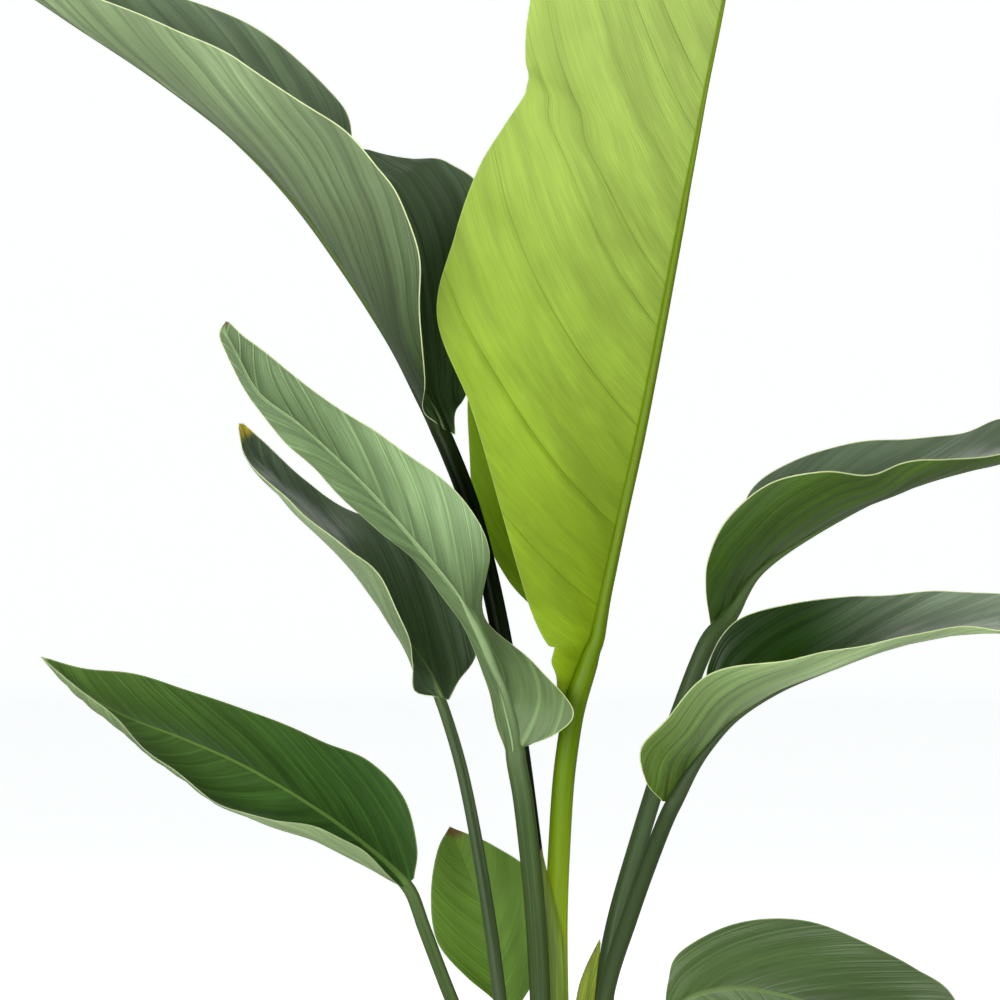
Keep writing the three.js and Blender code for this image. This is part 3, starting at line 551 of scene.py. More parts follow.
class BladeForm:
    """The surface of one blade: its places and, at each, what its markings need."""

    FEWEST_ROWS = 24
    FEWEST_COLUMNS = 6
    SWEEP_POWER = 0.6           # below one, so that the sweep changes mostly near the base
    VEIN_BEND = 0.3             # share of a vein's slant that it gains on its way to the edge
    GENTLE_SIDE = 0.84          # share of a leaning fold that its gentle side takes
    EDGE_THICKNESS = 0.45       # share of the thickness that is left at the edge
    THINNER_WITHIN = 2.5 * MM   # of the edge
    RIB_REACH = 0.965           # share of the blade's length with a raised midrib
    RIB_THINNING = 0.75         # share of its radius that the midrib loses toward the tip
    STEEPEST = 1.5              # rise of the blade beside the midrib that the midrib follows

    def __init__(self, leaf, settings, finish=None, seed=0):
        self.radii = np.array(leaf.get("radii", (0, 0, 0))) * MM
        stations = leaf["stations"]
        rib, left, right = ([station[which] for station in stations] for which in range(3))
        length = curve_length(rib) * MM
        widest = max(np.linalg.norm(np.subtract(station[0], station[side]))
                     for station in stations for side in (1, 2)) * MM
        rows = max(self.FEWEST_ROWS, round(length / settings.mesh_step))
        self.columns = max(self.FEWEST_COLUMNS, round(widest / settings.mesh_step))
        shares, travelled = even_shares(rib, rows)
        self.share = shares[:, None]
        self.travelled = travelled[:, None] * MM
        self.rib = smooth(rib, shares) * MM
        self.left = smooth(left, shares) * MM
        self.right = smooth(right, shares) * MM
        taper = finish["taper"] if finish else 1
        self.keel_radius = self.radii[2] + (self.radii[1] - self.radii[2]) * (1 - self.share) ** taper
        self.set_places(leaf["bellies"], finish["sweep"] if finish else (0, 0))
        self.phase = np.zeros_like(self.vein)
        if finish:
            self.add_relief(settings.ripple, finish, seed)
        self.up = uprights(self.grid)

    def set_places(self, bellies, sweep):
        """The grid from the left edge over the midrib to the right edge, and where its veins run."""
        along = unit(np.gradient(self.rib, axis=0))
        turned = (self.travelled / self.travelled[-1]) ** self.SWEEP_POWER
        slant = sweep[0] + (sweep[1] - sweep[0]) * turned
        share = np.linspace(0, 1, self.columns + 1)[None]
        bend = 1 - self.VEIN_BEND + self.VEIN_BEND * share
        halves = []
        for edge, side, belly in ((self.left, -1, bellies[0]), (self.right, 1, bellies[1])):
            chord = edge - self.rib
            width = np.linalg.norm(chord, axis=1, keepdims=True)
            forward = (chord * along).sum(axis=1, keepdims=True)
            across = np.sqrt(np.maximum(width ** 2 - forward ** 2, 0))
            up = unit(np.cross(chord, along)) * side
            sag = (width * belly * 4 * share * (1 - share))[:, :, None]
            half = self.rib[:, None] + chord[:, None] * share[:, :, None] - up[:, None] * sag
            vein = self.travelled + share * forward - slant * share * across * bend
            halves.append((half, vein, side * share * across, (1 - share) * width))
        join = [np.hstack([left[:, ::-1], right[:, 1:]]) for left, right in zip(*halves)]
        self.grid, self.vein, self.from_rib, self.to_edge = join
        self.out = np.hstack([share[:, ::-1], share[:, 1:]])
        self.grid[-1] = self.rib[-1]

    def add_relief(self, ripple, finish, seed):
        """Folds along the larger veins, and slow waves toward the edges."""
        lift = self.fold_lift(finish, seed) + self.wave_lift(ripple, seed)
        lift[0] = 0
        self.grid = self.grid + uprights(self.grid) * lift[:, :, None]

    def fold_lift(self, finish, seed):
        """How far the folds raise each place. They are unevenly spaced and unevenly high. phase
        counts them."""
        spacing = finish["spacing"] * MM
        even_vein = self.vein / vein_slope(finish)
        wander = 0.20 * swing(even_vein, 170, seed) + 0.24 * swing(even_vein, 73, 2 * seed)
        height = 0.75 + 0.35 * swing(even_vein, 110, seed)
        self.phase = even_vein / spacing + wander
        part = self.phase % 1.0
        even = np.cos(2 * math.pi * part)
        gentle = self.GENTLE_SIDE
        leaning = 1 - 2 * np.where(part < gentle, part / gentle, (1 - part) / (1 - gentle))
        fold = even + (leaning - even) * finish["lean"]
        off_rib = eased(np.abs(self.from_rib), 0, 0.5 * spacing)
        off_edge = eased(self.to_edge, -2 * MM, 8 * MM)
        return finish["depth"] * MM * fold * (off_rib * off_edge) * height

    def wave_lift(self, ripple, seed):
        """How far the slow waves raise each place. The two sides of a blade wave apart."""
        long_wave, short_wave, apart = 2 * math.pi / (62 * MM), 2 * math.pi / (37 * MM), 2.1
        side = np.sign(self.from_rib)
        waves = (swing(self.travelled, long_wave, seed + apart * side)
                 + 0.6 * swing(self.travelled, short_wave, 3 * seed))
        wide_enough = eased(np.abs(self.from_rib) + self.to_edge, 10 * MM, 30 * MM)
        return ripple * waves * self.out ** 3 * wide_enough

    def faces(self, thickness):
        """The upper and the lower face, thinner toward the edge."""
        left, within = self.EDGE_THICKNESS, self.THINNER_WITHIN
        half = thickness / 2 * (left + (1 - left) * eased(self.to_edge, 0, within))[:, :, None]
        return self.grid + self.up * half, self.grid - self.up * half

    def rib_line(self, thickness):
        """The midrib's centres under the blade, its up directions, its radii and how steeply the
        blade rises beside it, to near the tip."""
        middle = self.columns
        up = self.up[:, middle]
        for _ in range(3):
            up = unit(softened(up, times=1))
        last = round(len(up) * self.RIB_REACH)
        up = up[:last]
        radius = self.keel_radius[:last] * (1 - self.RIB_THINNING * self.share[:last] ** 3)
        sink = rib_sink(self.travelled[:last])
        centre = self.grid[:last, middle] - up * (sink * radius + 0.2 * thickness)
        rises = []
        for beside in (middle - 2, middle + 2):
            step = self.grid[:last, beside] - self.grid[:last, middle]
            lift = (step * up).sum(axis=1, keepdims=True)
            rises.append(lift / np.linalg.norm(step - up * lift, axis=1, keepdims=True))
        rise = np.clip(np.minimum(*rises), 0, self.STEEPEST)
        return centre, up, radius, softened(rise, times=40)

    def keel_coordinate(self):
        """Distance from the midrib in keel radii."""
        thinnest = 0.5 * MM
        return self.from_rib / np.maximum(self.keel_radius, thinnest)


def deselect_all():
    bpy.ops.object.select_all(action="DESELECT")


def activate(piece):
    """Makes one object the only selected and the active one."""
    deselect_all()
    piece.select_set(True)
    bpy.context.view_layer.objects.active = piece


def edit(piece, work):
    """Runs mesh operators on all of one piece in edit mode."""
    activate(piece)
    bpy.ops.object.mode_set(mode="EDIT")
    bpy.ops.mesh.select_all(action="SELECT")
    work()
    bpy.ops.object.mode_set(mode="OBJECT")


def grid_piece(name, rows, columns):
    """A grid primitive, with each vertex's row and column."""
    deselect_all()
    bpy.ops.mesh.primitive_grid_add(x_subdivisions=columns, y_subdivisions=rows, size=2)
    piece = bpy.context.object
    piece.name = name
    piece.data.name = name
    flat = np.empty(len(piece.data.vertices) * 3)
    piece.data.vertices.foreach_get("co", flat)
    flat = flat.reshape(-1, 3)
    column = np.rint((flat[:, 0] + 1) / 2 * columns).astype(int)
    row = np.rint((flat[:, 1] + 1) / 2 * rows).astype(int)
    return piece, row, column


def place_vertices(piece, places):
    """Sets a mesh's vertices to the given places."""
    piece.data.vertices.foreach_set("co", np.ascontiguousarray(places, dtype=np.float32).ravel())
    piece.data.update()


def add_uv(piece, name, across, upward):
    """A UV map from one pair of values for each vertex."""
    layer = piece.data.uv_layers.get(name) or piece.data.uv_layers.new(name=name)
    corner = np.empty(len(piece.data.loops), dtype=int)
    piece.data.loops.foreach_get("vertex_index", corner)
    layer.data.foreach_set("uv", np.stack([across[corner], upward[corner]], 1).ravel())


def apply_modifier(piece, kind, **values):
    """Adds a modifier with these values and applies it."""
    activate(piece)
    modifier = piece.modifiers.new(kind.title(), kind)
    for key, value in values.items():
        setattr(modifier, key, value)
    bpy.ops.object.modifier_apply(modifier=modifier.name)


def merge_doubles(piece, distance):
    edit(piece, lambda: bpy.ops.mesh.remove_doubles(threshold=distance))


def turn_outward(piece):
    edit(piece, lambda: bpy.ops.mesh.normals_make_consistent(inside=False))


def close_and_turn(piece):
    """Fills the open ends and turns all faces outward."""
    edit(piece, lambda: bpy.ops.mesh.fill_holes(sides=0))
    turn_outward(piece)


def shade(piece, degrees):
    activate(piece)
    bpy.ops.object.shade_smooth_by_angle(angle=math.radians(degrees))


def round_piece(name, reaches, sides, height, gap):
    """A surface of rings round the pot's axis. height gives a place's height from the number of its
    ring and its place across. Vertices closer than the gap become one."""
    piece, row, column = grid_piece(name, len(reaches) - 1, sides)
    places = np.zeros((len(reaches), sides + 1, 3))
    for ring, reach in enumerate(reaches):
        for side in range(sides + 1):
            angle = 2 * math.pi * (side % sides) / sides
            x, y = reach * math.cos(angle), reach * math.sin(angle)
            places[ring, side] = (x, y, height(ring, x, y))
    place_vertices(piece, places[row, column])
    merge_doubles(piece, gap)
    return piece


def hand_over(piece, slot, *nodes):
    """Says what a finished piece rides on and stands for. slot, what it would take its finish from, is
    not used.
    """
    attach(piece, "root")
    if nodes:
        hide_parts(*nodes)


def blade_piece(name, form, thickness, materials):
    """A closed blade: a grid given its thickness, then set to the form's two faces."""
    rows, columns = form.grid.shape[0] - 1, form.grid.shape[1] - 1
    piece, row, column = grid_piece(name, rows, columns)
    upper, lower = form.faces(thickness)
    place_vertices(piece, upper[row, column])
    piece.data.uv_layers[0].name = "veins"
    travelled = form.travelled.repeat(columns + 1, axis=1)
    add_uv(piece, "veins", form.vein[row, column] / UV_UNIT, form.from_rib[row, column] / UV_UNIT)
    add_uv(piece, "edges", form.to_edge[row, column] / UV_UNIT, form.keel_coordinate()[row, column])
    add_uv(piece, "folds", form.phase[row, column], travelled[row, column] / UV_UNIT)
    for material in materials:
        piece.data.materials.append(material)
    count = len(piece.data.vertices)
    apply_modifier(piece, "SOLIDIFY", thickness=thickness, offset=-1.0,
                   material_offset=1, material_offset_rim=2)
    if len(piece.data.vertices) != 2 * count:
        raise RuntimeError(f"{name}: the second face doesn't match the first")
    place_vertices(piece, np.vstack([upper[row, column], lower[row, column]]))
    merge_doubles(piece, distance=0.02 * MM)
    shade(piece, degrees=62)
    return piece


class Tree:
    """Adds nodes to a node tree and links them."""

    def __init__(self, tree):
        self.tree = tree
        tree.nodes.clear()

    def add(self, kind, inputs=None, **values):
        made = self.tree.nodes.new(kind)
        for key, value in values.items():
            setattr(made, key, value)
        for key, value in (inputs or {}).items():
            self.put(made.inputs[key], value)
        return made

    def put(self, socket, value):
        if isinstance(value, bpy.types.NodeSocket):
            self.tree.links.new(value, socket)
        elif isinstance(value, tuple) and len(value) == 3 and socket.type == "RGBA":
            socket.default_value = (*value, 1.0)
        else:
            socket.default_value = value

    def math(self, operation, first, second=0.0):
        return self.add("ShaderNodeMath", {0: first, 1: second}, operation=operation).outputs[0]

    def plus(self, first, second):
        return self.math("ADD", first, second)

    def times(self, first, second):
        return self.math("MULTIPLY", first, second)

    def inverse(self, mask):
        return self.math("SUBTRACT", 1.0, mask)

    def mix(self, factor, first, second):
        made = self.add("ShaderNodeMix", {0: factor, 6: first, 7: second}, data_type="RGBA")
        return made.outputs[2]

    def cover(self, colour, other, mask, strength):
        """A colour with another laid over it where the mask says."""
        return self.mix(self.times(mask, strength), colour, other)

    def rise(self, value, start, end):
        """0 below start, 1 above end and a smooth rise between."""
        made = self.add("ShaderNodeMapRange", {0: value, 1: start, 2: end, 3: 0.0, 4: 1.0},
                        interpolation_type="SMOOTHSTEP", clamp=True)
        return made.outputs[0]

    def scaled(self, vector, factors):
        made = self.add("ShaderNodeVectorMath", {0: vector, 1: factors}, operation="MULTIPLY")
        return made.outputs[0]

    def flat_place(self, first, second, layer=0.0):
        """A place in a flat pattern. Another layer gives another pattern."""
        return self.add("ShaderNodeCombineXYZ", {0: first, 1: second, 2: layer}).outputs[0]

    def speckle(self, vector, scale=1.0, detail=2.0, rough=0.5):
        made = self.add("ShaderNodeTexNoise",
                        {"Vector": vector, "Scale": scale, "Detail": detail, "Roughness": rough})
        return made.outputs["Fac"]

    def uv(self, name):
        """The two values of a UV map."""
        made = self.add("ShaderNodeUVMap", uv_map=name)
        split = self.add("ShaderNodeSeparateXYZ", {0: made.outputs[0]})
        return split.outputs[0], split.outputs[1]

    def object_place(self):
        return self.add("ShaderNodeTexCoord").outputs["Object"]

    def shared(self, name, maker, inputs):
        """The outputs of a node group that is made the first time it is asked for."""
        group = bpy.data.node_groups.get(name) or maker(name)
        return self.add("ShaderNodeGroup", inputs, node_tree=group).outputs

    def mottle(self, patch_scale, speck_scale=0.0):
        """Masks of soft patches and small specks."""
        scales = {"Patch Scale": patch_scale, "Speck Scale": speck_scale}
        made = self.shared("Mottle", mottle_group, scales)
        return made["Patches"], made["Specks"]

    def paint(self, shader, colour, roughness, shine=0.5):
        """Sets a shader's colour, roughness and shine. Each is a value or a node's output."""
        for name, value in (("Base Color", colour), ("Roughness", roughness),
                            ("Specular IOR Level", shine)):
            self.put(shader.inputs[name], value)

    def emboss(self, shader, height, strength, millimetres):
        """Raises a shader's surface by a height, which is so many millimetres where it is 1."""
        bump = self.add("ShaderNodeBump", {"Height": height, "Strength": strength,
                                           "Distance": millimetres * MM})
        self.put(shader.inputs["Normal"], bump.outputs[0])


def new_group(name, inputs, outputs):
    """Starts a shader node group with these value sockets. Gives its tree, what is put into it,
    and the function that puts out its results and gives the group."""
    group = bpy.data.node_groups.new(name, "ShaderNodeTree")
    for direction, sockets in (("INPUT", inputs), ("OUTPUT", outputs)):
        for socket in sockets:
            group.interface.new_socket(name=socket, in_out=direction, socket_type="NodeSocketFloat")
    tree = Tree(group)
    given = tree.add("NodeGroupInput").outputs
    result = tree.add("NodeGroupOutput").inputs

    def put_out(*values):
        for socket, value in zip(outputs, values):
            tree.put(result[socket], value)
        return group

    return tree, given, put_out


def vein_group(name):
    """Fine veins, soft bands and the creases of the folds along the larger veins, as masks."""
    tree, given, put_out = new_group(name, ("Fine Spacing", "Band Spacing", "Crease Width"),
                                     ("Fine", "Bands", "Crease", "Height"))
    vein, from_rib = tree.uv("veins")
    phase, _ = tree.uv("folds")
    fine_place = tree.flat_place(tree.math("DIVIDE", vein, given["Fine Spacing"]),
                                 tree.times(from_rib, 5.0))
    band_place = tree.flat_place(tree.math("DIVIDE", vein, given["Band Spacing"]),
                                 tree.times(from_rib, 1.6), layer=3.7)
    hair_place = tree.scaled(fine_place, (2.9, 1.6, 1.0))
    broad = tree.rise(tree.speckle(fine_place, detail=1.0), start=0.40, end=0.62)
    hair = tree.rise(tree.speckle(hair_place, detail=1.0), start=0.42, end=0.60)
    broad_share = 0.55
    fine = tree.plus(tree.times(broad, broad_share), tree.times(hair, 1 - broad_share))
    bands = tree.rise(tree.speckle(band_place, detail=3.0, rough=0.6), start=0.38, end=0.66)
    half = 0.5                  # of a fold's width, from its middle to its crease
    from_middle = tree.math("ABSOLUTE", tree.math("SUBTRACT", tree.math("FRACT", phase), half))
    crease = tree.rise(from_middle, tree.math("SUBTRACT", half, given["Crease Width"]), half)
    fine_height, crease_depth = 0.4, 0.6
    height = tree.math("SUBTRACT", tree.times(fine, fine_height), tree.times(crease, crease_depth))
    return put_out(fine, bands, crease, height)


def line_group(name):
    """Masks of a blade's pale edge line and of its midrib."""
    tree, given, put_out = new_group(name, ("Edge Width", "Rib Width"), ("Edge", "Rib"))
    to_edge, keel = tree.uv("edges")
    in_edges = tree.math("DIVIDE", to_edge, given["Edge Width"])
    in_ribs = tree.math("DIVIDE", tree.math("ABSOLUTE", keel), given["Rib Width"])
    return put_out(tree.inverse(tree.rise(in_edges, start=0.55, end=1.0)),
                   tree.inverse(tree.rise(in_ribs, start=0.6, end=1.15)))


def mottle_group(name):
    """Soft patches and small specks over any surface, by its place."""
    tree, given, put_out = new_group(name, ("Patch Scale", "Speck Scale"), ("Patches", "Specks"))
    place = tree.object_place()
    patches = tree.speckle(place, given["Patch Scale"], detail=3.0, rough=0.55)
    specks = tree.speckle(place, given["Speck Scale"], detail=1.0, rough=0.4)
    return put_out(tree.rise(patches, start=0.35, end=0.68), tree.rise(specks, start=0.66, end=0.74))


def new_material(name):
    """A material with a Principled shader, and its tree."""
    material = bpy.data.materials.new(name)
    material.use_nodes = True
    tree = Tree(material.node_tree)
    shader = tree.add("ShaderNodeBsdfPrincipled")
    output = tree.add("ShaderNodeOutputMaterial")
    tree.put(output.inputs["Surface"], shader.outputs["BSDF"])
    return material, tree, shader


def shade_of(colour, factor):
    """A colour made darker or lighter."""
    return tuple(min(1.0, channel * factor) for channel in colour)


def blend_of(first, second, share):
    """A colour on the way from one to another."""
    return tuple(a + (b - a) * share for a, b in zip(first, second))


def in_uv(millimetres):
    """A length as a UV map measures it."""
    return millimetres * MM / UV_UNIT


# A blade's markings in millimetres.
VEIN_SPACING = 2.2
BAND_SPACING = 11.0
CREASE_WIDTH = 1.1
EDGE_WIDTH = 0.6
TIP_FADE = 5.0
TIP_RAGGED = 3.0
# How bright a blade's ground, light tone and dark tone are near its base and near its tip. The light
# tone draws the fine veins and the painted highlight on lighter creases; the dark tone draws the
# bands, the soft patches, the painted shade near the base and the tip, and the painted shade on
# darker creases.
BLADE_TONES = ((1.0, 1.0), (1.55, 1.45), (0.48, 0.54))
# Shares of a blade's length: where the painted shade near the base ends, and from where the painted
# shade near the tip begins.
PAINTED_SHADE_BASE_END = 0.28
PAINTED_SHADE_TIP_START = 0.45


def blade_material(name, colours, rib, length, settings, finish, roughness, rib_width):
    """One face of a blade: veins in two tones, soft patches, painted shade near the base and the tip,
    painted highlight on lighter creases and painted shade on darker ones, the midrib, the pale edge,
    the tip.
    """
    material, tree, shader = new_material(name)
    near, far, (turn_start, turn_end) = colours
    _, travelled = tree.uv("folds")
    end = length / UV_UNIT
    veins = tree.shared("Leaf Veins", vein_group, {
        "Fine Spacing": in_uv(VEIN_SPACING) * vein_slope(finish),
        "Band Spacing": in_uv(BAND_SPACING) * vein_slope(finish),
        "Crease Width": CREASE_WIDTH / finish["spacing"]})
    lines = tree.shared("Leaf Lines", line_group,
                        {"Edge Width": in_uv(EDGE_WIDTH), "Rib Width": rib_width})
    patches, _ = tree.mottle(patch_scale=16.0)
    along = tree.rise(travelled, turn_start * end, turn_end * end)
    ground, light, dark = (tree.mix(along, shade_of(near, first), shade_of(far, last))
                           for first, last in BLADE_TONES)
    colour = tree.cover(ground, light, veins["Fine"], finish["grain"])
    colour = tree.cover(colour, dark, veins["Bands"], finish["bands"])
    colour = tree.cover(colour, dark, patches, strength=0.3)
    # Painted shade: the blade is laid over with its dark tone near the base and near the tip, as much as
    # darker says.
    at_base, tip_shade = finish["darker"]
    by_base = tree.inverse(tree.rise(travelled, 0.0, PAINTED_SHADE_BASE_END * end))
    tip_shade_mask = tree.rise(travelled, PAINTED_SHADE_TIP_START * end, end)
    colour = tree.cover(colour, dark, by_base, at_base)
    colour = tree.cover(colour, dark, tip_shade_mask, tip_shade)
    # Painted light along the fold creases: painted highlight in the light tone where line is above zero,
    # painted shade in the dark tone where it is below.
    line = light if finish["line"] > 0 else dark
    colour = tree.cover(colour, line, veins["Crease"], abs(finish["line"]))
    colour = tree.cover(colour, rib, lines["Rib"], strength=0.8)
    colour = tree.cover(colour, tuple(settings.edge_colour), lines["Edge"], finish["edge"])
    tip_colour, tip_length = finish["tip"]
    tip_start = end - in_uv(tip_length)
    ragged = tree.plus(travelled, tree.times(veins["Bands"], in_uv(TIP_RAGGED)))
    tip = tree.rise(ragged, tip_start, tip_start + in_uv(TIP_FADE))
    colour = tree.cover(colour, tip_colour, tip, strength=0.85)
    rough = tree.plus(roughness, tree.times(veins["Fine"], 0.06))
    tree.paint(shader, colour, tree.plus(rough, tree.times(patches, 0.1)), finish["shine"])
    tree.emboss(shader, veins["Height"], strength=0.6, millimetres=0.45)
    return material


def edge_material(name, colour):
    """The thin wall round a blade."""
    material, tree, shader = new_material(name)
    patches, _ = tree.mottle(patch_scale=60.0)
    tree.paint(shader, tree.mix(patches, colour, shade_of(colour, 0.8)), roughness=0.5)
    return material


def stalk_material(name, colours, rib):
    """A stalk with lengthwise streaks, which turns to the rib's colour along the blade."""
    material, tree, shader = new_material(name)
    around, along = tree.uv("round")
    narrow = tree.flat_place(tree.times(around, 34.0), tree.times(along, 1.2))
    broad = tree.flat_place(tree.times(around, 7.0), tree.times(along, 0.5), layer=5.0)
    fibres = tree.rise(tree.speckle(narrow), start=0.45, end=0.7)
    bands = tree.rise(tree.speckle(broad, detail=1.0), start=0.4, end=0.65)
    patches, _ = tree.mottle(patch_scale=22.0)
    head, foot = colours
    darker, tinted = 0.72, 0.12
    lower = tree.rise(tree.times(along, -1.0), in_uv(10.0), in_uv(130.0))
    colour = tree.mix(lower, head, foot)
    dark = tree.mix(lower, shade_of(head, darker), shade_of(foot, darker))
    streak = tree.mix(lower, blend_of(head, rib, tinted), blend_of(foot, rib, tinted))
    tone = tree.cover(dark, colour, bands, strength=0.7)
    tone = tree.cover(tone, streak, fibres, strength=0.45)
    tone = tree.cover(tone, dark, patches, strength=0.3)
    on_blade = tree.rise(along, in_uv(-35.0), in_uv(90.0))
    on_rib = tree.cover(shade_of(rib, 0.8), rib, fibres, strength=0.5)
    tone = tree.cover(tone, on_rib, on_blade, strength=0.85)
    tree.paint(shader, tone, roughness=tree.plus(0.36, tree.times(fibres, 0.12)), shine=0.1)
    tree.emboss(shader, fibres, strength=0.3, millimetres=0.25)
    return material


def sheath_material(name, green, dry):
    """A sheath: green with lengthwise fibres, and dry brown toward its edges."""
    material, tree, shader = new_material(name)
    vein, from_rib = tree.uv("veins")
    to_edge, _ = tree.uv("edges")
    lengthwise = tree.flat_place(tree.times(from_rib, 80.0), tree.times(vein, 3.0))
    fibres = tree.rise(tree.speckle(lengthwise), start=0.4, end=0.7)
    patches, _ = tree.mottle(patch_scale=55.0)
    ragged = tree.plus(to_edge, tree.times(patches, in_uv(0.8)))
    browned = tree.inverse(tree.rise(ragged, in_uv(0.2), in_uv(0.9)))
    tone = tree.mix(fibres, shade_of(green, 0.8), shade_of(green, 1.25))
    tone = tree.cover(tone, dry, browned, strength=0.7)
    tree.paint(shader, tone, roughness=tree.plus(0.45, tree.times(browned, 0.3)), shine=0.2)
    tree.emboss(shader, fibres, strength=0.4, millimetres=0.25)
    return material


class PLANT_OT_blades(bpy.types.Operator):
    """Builds the nine blades with their midribs"""

    bl_idname = "plant.blades"
    bl_label = "Blades"

    def execute(self, context):
        settings = context.scene.leaf_settings
        for seed, (name, leaf) in enumerate(LEAVES.items()):
            finish = FINISHES[name]
            form = BladeForm(leaf, settings, finish, seed)
            length = float(form.travelled[-1, 0])
            pale_rib = blend_of(finish["upper"][0], finish["rib"], share=0.55)
            upper = blade_material(name + "_upper", finish["upper"], pale_rib, length, settings,
                                   finish, finish["gloss"], rib_width=0.55)
            under = blade_material(name + "_under", finish["under"], finish["rib"], length, settings,
                                   finish, roughness=0.46, rib_width=0.9)
            wall = blend_of(finish["under"][1], tuple(settings.edge_colour), finish["edge"])
            piece = blade_piece(name + "_leaf", form, settings.thickness,
                                (upper, under, edge_material(name + "_edge", wall)))
            hand_over(piece, finish["slot"], name + "_blade")
        return {"FINISHED"}


class PLANT_OT_sheaths(bpy.types.Operator):
    """Builds the two sheaths"""

    bl_idname = "plant.sheaths"
    bl_label = "Sheaths"

    def execute(self, context):
        settings = context.scene.leaf_settings
        dry = tuple(settings.dry_colour)
        straw = (0.5, 0.42, 0.16)
        for name, sheath in SHEATHS.items():
            form = BladeForm(sheath, settings)
            face = sheath_material(name + "_skin", sheath["green"], dry)
            wall = edge_material(name + "_edge", blend_of(dry, straw, share=0.5))
            piece = blade_piece(name + "_wrap", form, settings.thickness, (face, face, wall))
            hand_over(piece, "sheath", name)
        return {"FINISHED"}


def stalk_line(leaf, name, sizes, leaves):
    """A stalk's centres, up directions, radii, blade slopes and distances from the blade's base,
    from the mix to under the blade. The midrib on a blade's underside is the stalk's own end, so
    the line goes on to near the tip."""
    form = BladeForm(leaf, leaves, FINISHES[name])
    rib, rib_up, rib_radius, rib_rise = form.rib_line(leaves.thickness)
    along = unit(rib[3] - rib[0])
    beyond = 12 * MM
    places = [np.array(place) * MM for place in leaf["stalk"]]
    places = [places[0] - np.array((0, 0, sizes.root_depth)), *places, rib[0], rib[0] + along * beyond]
    count = round(curve_length(places[:-1]) / sizes.step)
    shares, _ = even_shares(places, count, run=(len(places) - 2) / (len(places) - 1))
    stalk = smooth(places, shares)
    part = np.linspace(0, 1, count + 1)[:, None]
    radius = leaf["radii"][0] * MM * (1 - part) + rib_radius[0] * part
    skip = max(1, round(sizes.step / leaves.mesh_step))
    centre = np.vstack([stalk, rib[skip::skip]])
    radius = np.vstack([radius, rib_radius[skip::skip]])
    up = np.vstack([rib_up[:1].repeat(count + 1, axis=0), rib_up[skip::skip]])
    rise = np.vstack([np.zeros((count + 1, 1)), rib_rise[skip::skip]])
    near = 6
    by_base = slice(count - near, count + near + 1)
    centre[by_base] = softened(centre[by_base], times=4)
    travelled = distances(centre)
    return centre, up, radius, rise, travelled - travelled[count]


class PLANT_OT_stalks(bpy.types.Operator):
    """Builds the nine stalks, each with a channel on its upper side"""

    bl_idname = "plant.stalks"
    bl_label = "Stalks"

    CHANNEL_WIDTH = 0.55        # radians from its middle to where it has faded
    CHANNEL_START = 0.7         # of the stalk's length below the blade
    CHANNEL_FULL = 0.25         # of the stalk's length below the blade
    RIDGES = 9
    RIDGE_HEIGHT = 0.010        # radii
    FREE_LEVEL = 1.5            # radii, higher than the skin of a stalk reaches
    FOLLOWING = 0.95            # share of the blade's slope that the midrib's upper side keeps to
    FLATTENING = 0.35           # how much flatter the underside of the midrib is than a round one

    def execute(self, context):
        sizes = context.scene.stalk_settings
        leaves = context.scene.leaf_settings
        for name, leaf in LEAVES.items():
            finish = FINISHES[name]
            piece = self.stalk(name, leaf, sizes, leaves)
            piece.data.materials.append(
                stalk_material(name + "_stalk_skin", finish["stalk"], finish["rib"]))
            hand_over(piece, finish["stalk_slot"], name + "_stalk")
        return {"FINISHED"}

    def section(self, sizes, place, radius, rise):
        """How far sideways and upward the skin lies from the centre, ring by ring. place is the
        distance from the blade's base, below zero on the way up to it."""
        angle = np.linspace(0, 2 * math.pi, sizes.sides + 1)[None]
        from_top = np.angle(np.exp(1j * (angle - math.pi / 2)))
        opening = eased(place, place[0] * self.CHANNEL_START, place[0] * self.CHANNEL_FULL)
        closing = 1 - eased(place, -20 * MM, 0)
        dent = sizes.channel * opening * closing * np.exp(-(from_top / self.CHANNEL_WIDTH) ** 2)
        ridges = self.RIDGE_HEIGHT * np.sin(self.RIDGES * angle) * (1 - eased(place, -20 * MM, 30 * MM))
        reach = radius * (1 - dent + ridges)
        level = self.FREE_LEVEL - (self.FREE_LEVEL - rib_sink(place)) * eased(place, -25 * MM, 0)
        outward = reach * np.cos(angle)
        under_blade = radius * level + self.FOLLOWING * rise * np.abs(outward)
        upward = np.minimum(reach * np.sin(angle), under_blade)
        flatter = upward * (1 - self.FLATTENING * eased(place, 0, 60 * MM))
        return outward, np.where(upward < 0, flatter, upward)

    def stalk(self, name, leaf, sizes, leaves):
        centre, up, radius, rise, travelled = stalk_line(leaf, name, sizes, leaves)
        along = unit(np.gradient(centre, axis=0))
        up = unit(up - along * (along * up).sum(axis=1, keepdims=True))
        side = np.cross(along, up)
        outward, upward = self.section(sizes, travelled[:, None], radius, rise)
        skin = centre[:, None] + side[:, None] * outward[:, :, None] + up[:, None] * upward[:, :, None]
        rings = len(centre) - 1
        piece, row, column = grid_piece(name + "_petiole", rings, sizes.sides)
        place_vertices(piece, skin[row, column])
        piece.data.uv_layers[0].name = "round"
        add_uv(piece, "round", column / sizes.sides, travelled[row] / UV_UNIT)
        merge_doubles(piece, distance=0.01 * MM)
        close_and_turn(piece)
        shade(piece, degrees=50)
        return piece


